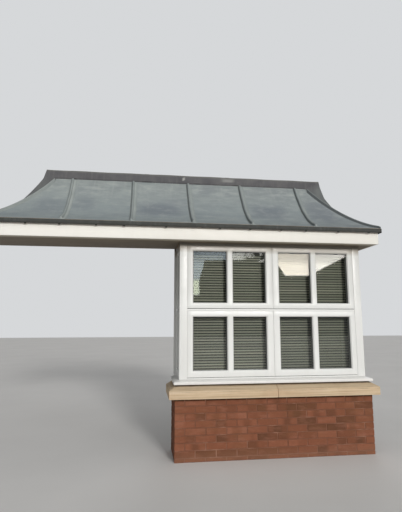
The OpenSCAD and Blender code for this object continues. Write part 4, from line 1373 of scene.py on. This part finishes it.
def build_drip():
    """Turned-down edge with a welted foot, in one run round the three sides."""
    ms = Mesh()
    rng = random.Random(9)
    prof = [(-1.2, 2529.6), (0.8, 2528.6), (2.2, 2525.6), (2.9, 2520.0), (2.5, 2506.0), (2.9, 2496.0), (2.3, 2492.5), (2.9, 2489.0), (2.95, 2483.0), (2.2, 2479.6), (0.6, 2479.0),
            (-0.4, 2480.5), (-0.6, 2488.0), (-1.2, 2490.0)]
    # path: left wall end, left corner, right corner, right wall end; offset outwards by the profile
    hw, d = DECK_HW, DECK_D
    path = []
    n1, n2 = 16, 110
    for i in range(n1 + 1):
        path.append((-hw, -d * i / n1, -1, 0 if i < n1 else -1))
    for i in range(1, n2 + 1):
        path.append((-hw + 2 * hw * i / n2, -d, 0 if i < n2 else 1, -1))
    for i in range(1, n1 + 1):
        path.append((hw, -d + d * i / n1, 1, 0))
    rings = []
    for k, (x, y, ox, oy) in enumerate(path):
        ring = []
        wob = [rng.uniform(-0.35, 0.0) for _ in range(3)]
        foot = rng.uniform(-0.6, 0.9)
        for (o, z) in prof:
            oo = min(o, 2.98) if z > 2500 else min(o + wob[0], 2.98)
            zz = z + (foot if z < 2495 else 0.0)
            zz = max(zz, 2479.0)
            ring.append((x + ox * oo, min(0.0, y + oy * oo), zz))
        rings.append(ring)
    add_sweep(ms, rings, 0)
    ms.make("lead_drip", [M_EDGE], "drip_edge", "lead_edge", 50)
    cl = Mesh()
    for x in (-2070, -1747, -1400, -1024, -731, -280, 317, 660, 1017, 1312, 1700, 2070):
        w = 12.0 + rng.uniform(-2, 2)
        sk = rng.uniform(-2.0, 2.0)
        pts = [(-682.0, 2501.0), (-680.0, 2501.0), (-680.0, 2474.5), (-681.5, 2471.2), (-684.4, 2470.2), (-684.9, 2472.4), (-684.6, 2477.4), (-683.0, 2477.8), (-683.2, 2473.8), (-682.0, 2474.6)]
        ra = [(x - w + (sk if p[1] < 2480 else 0), p[0], p[1]) for p in pts]
        rb = [(x + w + (sk if p[1] < 2480 else 0), p[0], p[1]) for p in pts]
        add_sweep(cl, [ra, rb], 0)
    cl.make("lead_clips", [M_EDGE], "edge_clips", "lead_edge", 35)


def build_flashing():
    ms = Mesh()
    rng = random.Random(77)
    top_z = EAVE + RISE + FLASH_W - 10
    base_z = EAVE + RISE
    # level strip in three lengths with laps; its ends are mitred to the raking strips
    mitre = (FLASH_W / (top_z - base_z), FLASH_CORNER / (top_z - base_z))
    cuts = [(-TOP_HW, -470.0), (-520.0, 560.0), (510.0, TOP_HW)]
    for q, (a, b) in enumerate(cuts):
        top, bot, pale, soot = [], [], [], []
        n = 44
        lift = (0.0, 1.6, 0.0)[q]
        for j in range(7):
            v = j / 6.0
            rt, rb, rp, rs = [], [], [], []
            z0 = base_z + (top_z - base_z) * v
            xa = a - (z0 - base_z) * mitre[0] if q == 0 else a
            xb = b + (z0 - base_z) * mitre[1] if q == 2 else b
            for i in range(n + 1):
                x = xa + (xb - xa) * i / n
                e = min(1.0, (x - xa) / 60.0, (xb - x) / 60.0)
                w = 0.9 * wave2(x, v * 90, 60 + q) * e
                zz = z0
                if j == 6:
                    zz = min(top_z, zz - (1.5 + 1.5 * math.sin(x * 0.011 + q)) * e)
                y = -(3.4 + lift + w + 0.9 * math.sin(v * math.pi))
                y = min(max(y, -5.95), -1.2)
                rt.append((x, y, zz))
                rb.append((x, -0.1 if q != 1 else -0.6, zz))
                d1 = math.hypot((x + 36) / 17.0, (zz - 3256) / 17.0)
                d2 = max(abs(x - 545) / 95.0, abs(zz - 3262) / 28.0)
                rp.append(max(0.0, min(1.0, 2.2 - 2 * d1)) * 0.95 + max(0.0, min(1.0, 2.0 - 2 * d2)) * 0.35)
                # painted shadow on the bottom row, darkest in a few short stretches, two of them at the laps between
                # lengths
                k = 0.0
                for (g0, g1) in ((-560, -430), (95, 190), (-1400, -1340), (600, 680)):
                    k = max(k, min(1.0, max(0.0, (x - g0) / 14.0), max(0.0, (g1 - x) / 14.0)))
                rs.append((0.35 + 0.65 * k) if j == 0 else 0.0)
            top.append(rt)
            bot.append(rb)
            pale.append(rp)
            soot.append(rs)
        add_grid(ms, top, bot, 0, pale=pale, soot=soot, rake=0.0)
    for side, width in ((-1, FLASH_END[0]), (1, FLASH_END[1])):
        top, bot, rake = [], [], []
        over = FLASH_W if side < 0 else FLASH_CORNER
        corner = (TOP_HW + over, top_z)
        sc = 13.0 / 14.0
        for s in np.linspace(0, 1, 60):
            ix, iz = hip_x(s), EAVE + rise(s)
            se = min(s, sc)
            L = math.hypot(drise(se), dhip(se))
            wide = width + (over - FLASH_W) * max(0.0, se - 0.8) * 5.2
            ox, oz = hip_x(se) + wide * drise(se) / L, EAVE + rise(se) - wide * dhip(se) / L
            if s > sc:
                t = (s - sc) / (1 - sc)
                ox, oz = ox + (corner[0] - ox) * t, oz + (corner[1] - oz) * t
            far = min(1.0, (CAN_W / 2 - 0.3 - ix) / (ox - ix))
            rt, rb = [], []
            for j in range(6):
                v = j / 5.0 * far
                xx, zz = ix + (ox - ix) * v, iz + (oz - iz) * v
                e = min(1.0, (1 - s) * 9)
                yy = -(3.4 + e * (0.9 * math.sin(j / 5.0 * math.pi) + 0.7 * wave2(xx, zz, 70 + side)))
                rt.append((side * xx, min(max(yy, -5.9), -1.4), zz))
                rb.append((side * xx, -0.1, zz))
            top.append(rt)
            bot.append(rb)
            rake.append([(0.45 if side < 0 else 0.85) * min(1.0, max(0.0, (1.0 - s) / 0.09))] * 6)
        add_grid(ms, top, bot, 0, pale=0.0, soot=0.0, rake=rake)
    ms.make("lead_cover_flashing", [M_FLASH], "cover_flashing", "lead_flashing", 45)


# ---------------------------------------------------------------- the rest
def build_rest():
    soften("stone_sill_front", "sill_stone_front", [M_STONE], 3.5, 3)
    soften("stone_sill_returns", "sill_stone_returns", [M_STONE], 3.5, 3)
    soften("white_cill_front", "cill_front", [M_CILL], 1.8, 3)
    soften("white_cill_returns", "cill_returns", [M_CILL], 1.8, 3)
    soften("corner_posts", "bay_posts", [M_PVC], 2.5, 3)
    soften("wall_trims", "trims_wall", [M_PVC], 1.5, 3)
    soften("window_board_front", "board_front", [M_BOARD], 5.0, 3)
    soften("window_board_sides", "board_sides", [M_BOARD], 5.0, 3)
    soften("fascia_front", "fascia_board_front", [M_FASCIA], 2.0, 3)
    soften("fascia_ends", "fascia_board_ends", [M_FASCIA], 2.0, 3)
    soften("soffit_boards", "soffit", [M_SOFFIT], 1.0, 2)
    soften("bay_ceiling", "ceiling_board", [M_PLASTER], 1.0, 2)
    soften("plaster_lining", "plaster_coat", [M_PLASTER], 1.5, 2)
    soften("floor_slab", "slab", [M_CONCRETE], 3.0, 2)
    soften("head_beams", "beams_head", [M_WOOD_X], 2.0, 2)
    soften("eave_beams", "beams_eave", [M_WOOD_X], 2.0, 2)
    soften("wall_plates", "plates_wall", [M_WOOD_X], 2.0, 2)
    soften("roof_formers", "formers", [M_PLY], 1.0, 2)
    soften("hip_rafters", "rafters_hip", [M_WOOD_Y], 1.5, 2)
    soften("roof_deck_front", "deck_boards_front", [M_WOOD_X], 1.0, 1)
    soften("roof_deck_ends", "deck_boards_ends", [M_WOOD_Y], 1.0, 1)


# ---------------------------------------------------------------- stage
def build_camera():
    f_px = 433.44
    yaw, pitch, roll = math.radians(8.014), math.radians(8.7136), math.radians(-0.0814)
    F = Vector((math.sin(yaw) * math.cos(pitch), math.cos(yaw) * math.cos(pitch), math.sin(pitch)))
    R0 = Vector((math.cos(yaw), -math.sin(yaw), 0.0))
    U0 = R0.cross(F)
    R = R0 * math.cos(roll) + U0 * math.sin(roll)
    U = -R0 * math.sin(roll) + U0 * math.cos(roll)
    cd = bpy.data.cameras.new("camera")
    cd.sensor_fit = "AUTO"
    cd.sensor_width = 36.0
    cd.lens = f_px / 512.0 * 36.0
    cd.shift_x = -3.5 / 512.0
    cd.clip_start, cd.clip_end = 0.05, 400.0
    cam = bpy.data.objects.new("camera", cd)
    bpy.context.scene.collection.objects.link(cam)
    cam.matrix_world = Matrix(((R.x, U.x, -F.x, -0.5087), (R.y, U.y, -F.y, -4.9686), (R.z, U.z, -F.z, 1.4482), (0, 0, 0, 1)))
    bpy.context.scene.camera = cam


def soft_sun(name, azimuth, elevation, spread, strength, col):
    """A broad distant softbox: azimuth from straight in front towards the right."""
    az, el = math.radians(azimuth), math.radians(elevation)
    ld = bpy.data.lights.new(name, "SUN")
    ld.energy = strength
    ld.angle = math.radians(spread)
    ld.color = col
    lo = bpy.data.objects.new(name, ld)
    bpy.context.scene.collection.objects.link(lo)
    to = Vector((math.sin(az) * math.cos(el), -math.cos(az) * math.cos(el), math.sin(el)))
    lo.location = to * 12.0
    lo.rotation_mode = "QUATERNION"
    lo.rotation_quaternion = (-to).to_track_quat("-Z", "Y")


def build_stage():
    me = bpy.data.meshes.new("floor")
    n, half = 24, 40.0
    v = [(-half + 2 * half * i / n, -half + 2 * half * j / n, -0.001) for j in range(n + 1) for i in range(n + 1)]
    f = [[j * (n + 1) + i, j * (n + 1) + i + 1, (j + 1) * (n + 1) + i + 1, (j + 1) * (n + 1) + i] for j in range(n) for i in range(n)]
    me.from_pydata(v, [], f)
    fm = Mat("floor_plain", rough=0.9, spec=0.1)
    fm.color(ramp(fm.nt, [(0.3, (0.66, 0.65, 0.635)), (0.7, (0.70, 0.69, 0.675))], fm.noise(0.6, 3)))
    me.materials.append(fm.m)
    fl = bpy.data.objects.new("floor", me)
    bpy.context.scene.collection.objects.link(fl)

    w = bpy.data.worlds.new("studio")
    bpy.context.scene.world = w
    w.use_nodes = True
    nt = w.node_tree
    for nd in list(nt.nodes):
        nt.nodes.remove(nd)

    def new(kind):
        return nt.nodes.new(kind)

    def calc(op, a, b=None, clamp=False):
        n = new("ShaderNodeMath")
        n.operation = op
        n.use_clamp = clamp
        for i, x in enumerate((a, b)):
            if x is None:
                continue
            if isinstance(x, (int, float)):
                n.inputs[i].default_value = x
            else:
                nt.links.new(x, n.inputs[i])
        return n.outputs[0]

    def remap(val, a, b, c, d):
        n = new("ShaderNodeMapRange")
        n.interpolation_type = "SMOOTHSTEP"
        for i, x in zip((1, 2, 3, 4), (a, b, c, d)):
            n.inputs[i].default_value = x
        nt.links.new(val, n.inputs[0])
        return n.outputs[0]

    out = new("ShaderNodeOutputWorld")
    mix = new("ShaderNodeMixShader")
    lp = new("ShaderNodeLightPath")
    seen = new("ShaderNodeBackground")
    seen.inputs[0].default_value = (0.96, 0.98, 1.0, 1)
    seen.inputs[1].default_value = 0.70
    light = new("ShaderNodeBackground")
    tc = new("ShaderNodeTexCoord")
    sep = new("ShaderNodeSeparateXYZ")
    nt.links.new(tc.outputs["Generated"], sep.inputs[0])
    X, Y, Z = sep.outputs[0], sep.outputs[1], sep.outputs[2]
    # soft dome: low near the floor, fuller above, dimmer on the left
    dome = remap(Z, 0.02, 0.55, 0.05, 0.10)
    side = remap(X, -0.9, 0.6, 1.30, 1.05)
    base = calc("MULTIPLY", dome, side)
    base = calc("ADD", base, calc("MULTIPLY", remap(Z, -0.002, 0.030, 1.0, 0.0), calc("MULTIPLY", remap(Y, -0.6, -0.2, 1.0, 0.0), 0.15)))
    # a bright card low in front on the right, with a cut lower edge, which the upper panes mirror
    nz = new("ShaderNodeTexNoise")
    nz.inputs["Scale"].default_value = 16.0
    nz.inputs["Detail"].default_value = 5.0
    nt.links.new(tc.outputs["Generated"], nz.inputs["Vector"])
    across = calc("DIVIDE", X, calc("MULTIPLY", Y, -1.0))
    height = calc("DIVIDE", Z, calc("MULTIPLY", Y, -1.0))
    t = new("ShaderNodeMapRange")
    for i, x in zip((1, 2, 3, 4), (0.10, 0.55, 0.0, 1.0)):
        t.inputs[i].default_value = x
    nt.links.new(across, t.inputs[0])
    t = t.outputs[0]
    edge = [(0.10, 0.070), (0.122, 0.075), (0.130, 0.105), (0.1365, 0.124), (0.1395, 0.143), (0.200, 0.148), (0.243, 0.147), (0.285, 0.141),
            (0.318, 0.139), (0.336, 0.112), (0.409, 0.112), (0.414, 0.122), (0.451, 0.140), (0.494, 0.161), (0.55, 0.190)]
    bound = ramp(nt, [((a - 0.10) / 0.45, grey(e * 5.0)) for a, e in edge], t)
    bound = calc("ADD", calc("DIVIDE", bound, 5.0), calc("MULTIPLY", calc("SUBTRACT", nz.outputs[0], 0.5), 0.008))
    card = calc("MULTIPLY", remap(calc("SUBTRACT", height, bound), -0.0015, 0.0015, 0.0, 1.0), remap(height, 0.19, 0.25, 1.0, 0.0))
    power = ramp(nt, [(0.0, grey(0.0)), (0.02, grey(0.26)), (0.21, grey(0.30)), (0.235, grey(0.50)), (0.33, grey(0.50)), (0.44, grey(0.52)),
                      (0.48, grey(0.90)), (0.68, grey(0.90)), (0.70, grey(0.95)), (0.88, grey(0.90)), (1.0, grey(0.0))], t)
    tint = ramp(nt, [(0.0, (0.80, 0.90, 1.0)), (0.20, (0.78, 0.89, 1.0)), (0.24, (1.0, 0.97, 0.93)), (0.44, (1.0, 0.96, 0.91)),
                     (0.48, (1.0, 0.875, 0.765)), (0.68, (1.0, 0.88, 0.78)), (0.70, (1.0, 0.92, 0.87)), (1.0, (1.0, 0.93, 0.88))], t)
    card = calc("MULTIPLY", card, power)
    lz = new("ShaderNodeTexNoise")
    lz.inputs["Scale"].default_value = 52.0
    lz.inputs["Detail"].default_value = 3.0
    nt.links.new(tc.outputs["Generated"], lz.inputs["Vector"])
    leaf = calc("MULTIPLY", remap(lz.outputs[0], 0.42, 0.50, 0.0, 0.95), calc("MULTIPLY", remap(across, 0.230, 0.246, 0.0, 1.0), remap(across, 0.290, 0.300, 1.0, 0.0)))
    card = calc("MULTIPLY", card, calc("SUBTRACT", 1.0, leaf))
    card = calc("MULTIPLY", card, remap(height, 0.134, 0.150, 1.0, 0.66))
    # one bright gap low on the left
    gap = calc("MULTIPLY", calc("MULTIPLY", remap(across, 0.108, 0.112, 0.0, 1.0), remap(across, 0.1265, 0.1295, 1.0, 0.0)),
               calc("MULTIPLY", remap(height, 0.060, 0.066, 0.0, 1.0), remap(height, 0.094, 0.104, 1.0, 0.0)))
    card = calc("MAXIMUM", card, calc("MULTIPLY", gap, 0.46))
    warm = new("ShaderNodeMix")
    warm.data_type = "RGBA"
    nt.links.new(gap, warm.inputs[0])
    nt.links.new(tint, warm.inputs[6])
    warm.inputs[7].default_value = (0.95, 1.0, 0.78, 1)
    tint = warm.outputs[2]
    card = calc("MULTIPLY", card, remap(Y, -0.5, -0.3, 1.0, 0.0))
    light.inputs[0].default_value = (0.97, 0.985, 1.0, 1)
    nt.links.new(base, light.inputs[1])
    shine = new("ShaderNodeBackground")
    nt.links.new(tint, shine.inputs[0])
    nt.links.new(calc("MULTIPLY", card, 11.5), shine.inputs[1])
    both = new("ShaderNodeAddShader")
    nt.links.new(light.outputs[0], both.inputs[0])
    nt.links.new(shine.outputs[0], both.inputs[1])
    nt.links.new(lp.outputs["Is Camera Ray"], mix.inputs[0])
    nt.links.new(both.outputs[0], mix.inputs[1])
    nt.links.new(seen.outputs[0], mix.inputs[2])
    nt.links.new(mix.outputs[0], out.inputs[0])

    soft_sun("key", 13.0, 16.5, 11.0, 1.85, (1.0, 0.985, 0.96))
    soft_sun("sky", 10.0, 56.0, 76.0, 0.85, (0.98, 0.99, 1.0))
    soft_sun("left", -82.0, 20.0, 40.0, 0.22, (0.98, 0.99, 1.0))
    soft_sun("back", 160.0, 24.0, 30.0, 0.55, (0.97, 0.985, 1.0))


build_bricks()
build_blocks()
build_windows()
build_glass()
build_blinds()
build_lead()
build_rolls()
build_drip()
build_flashing()
build_rest()
build_camera()
build_stage()
bpy.context.scene.view_settings.view_transform = "Standard"

bpy.context.view_layer.update()
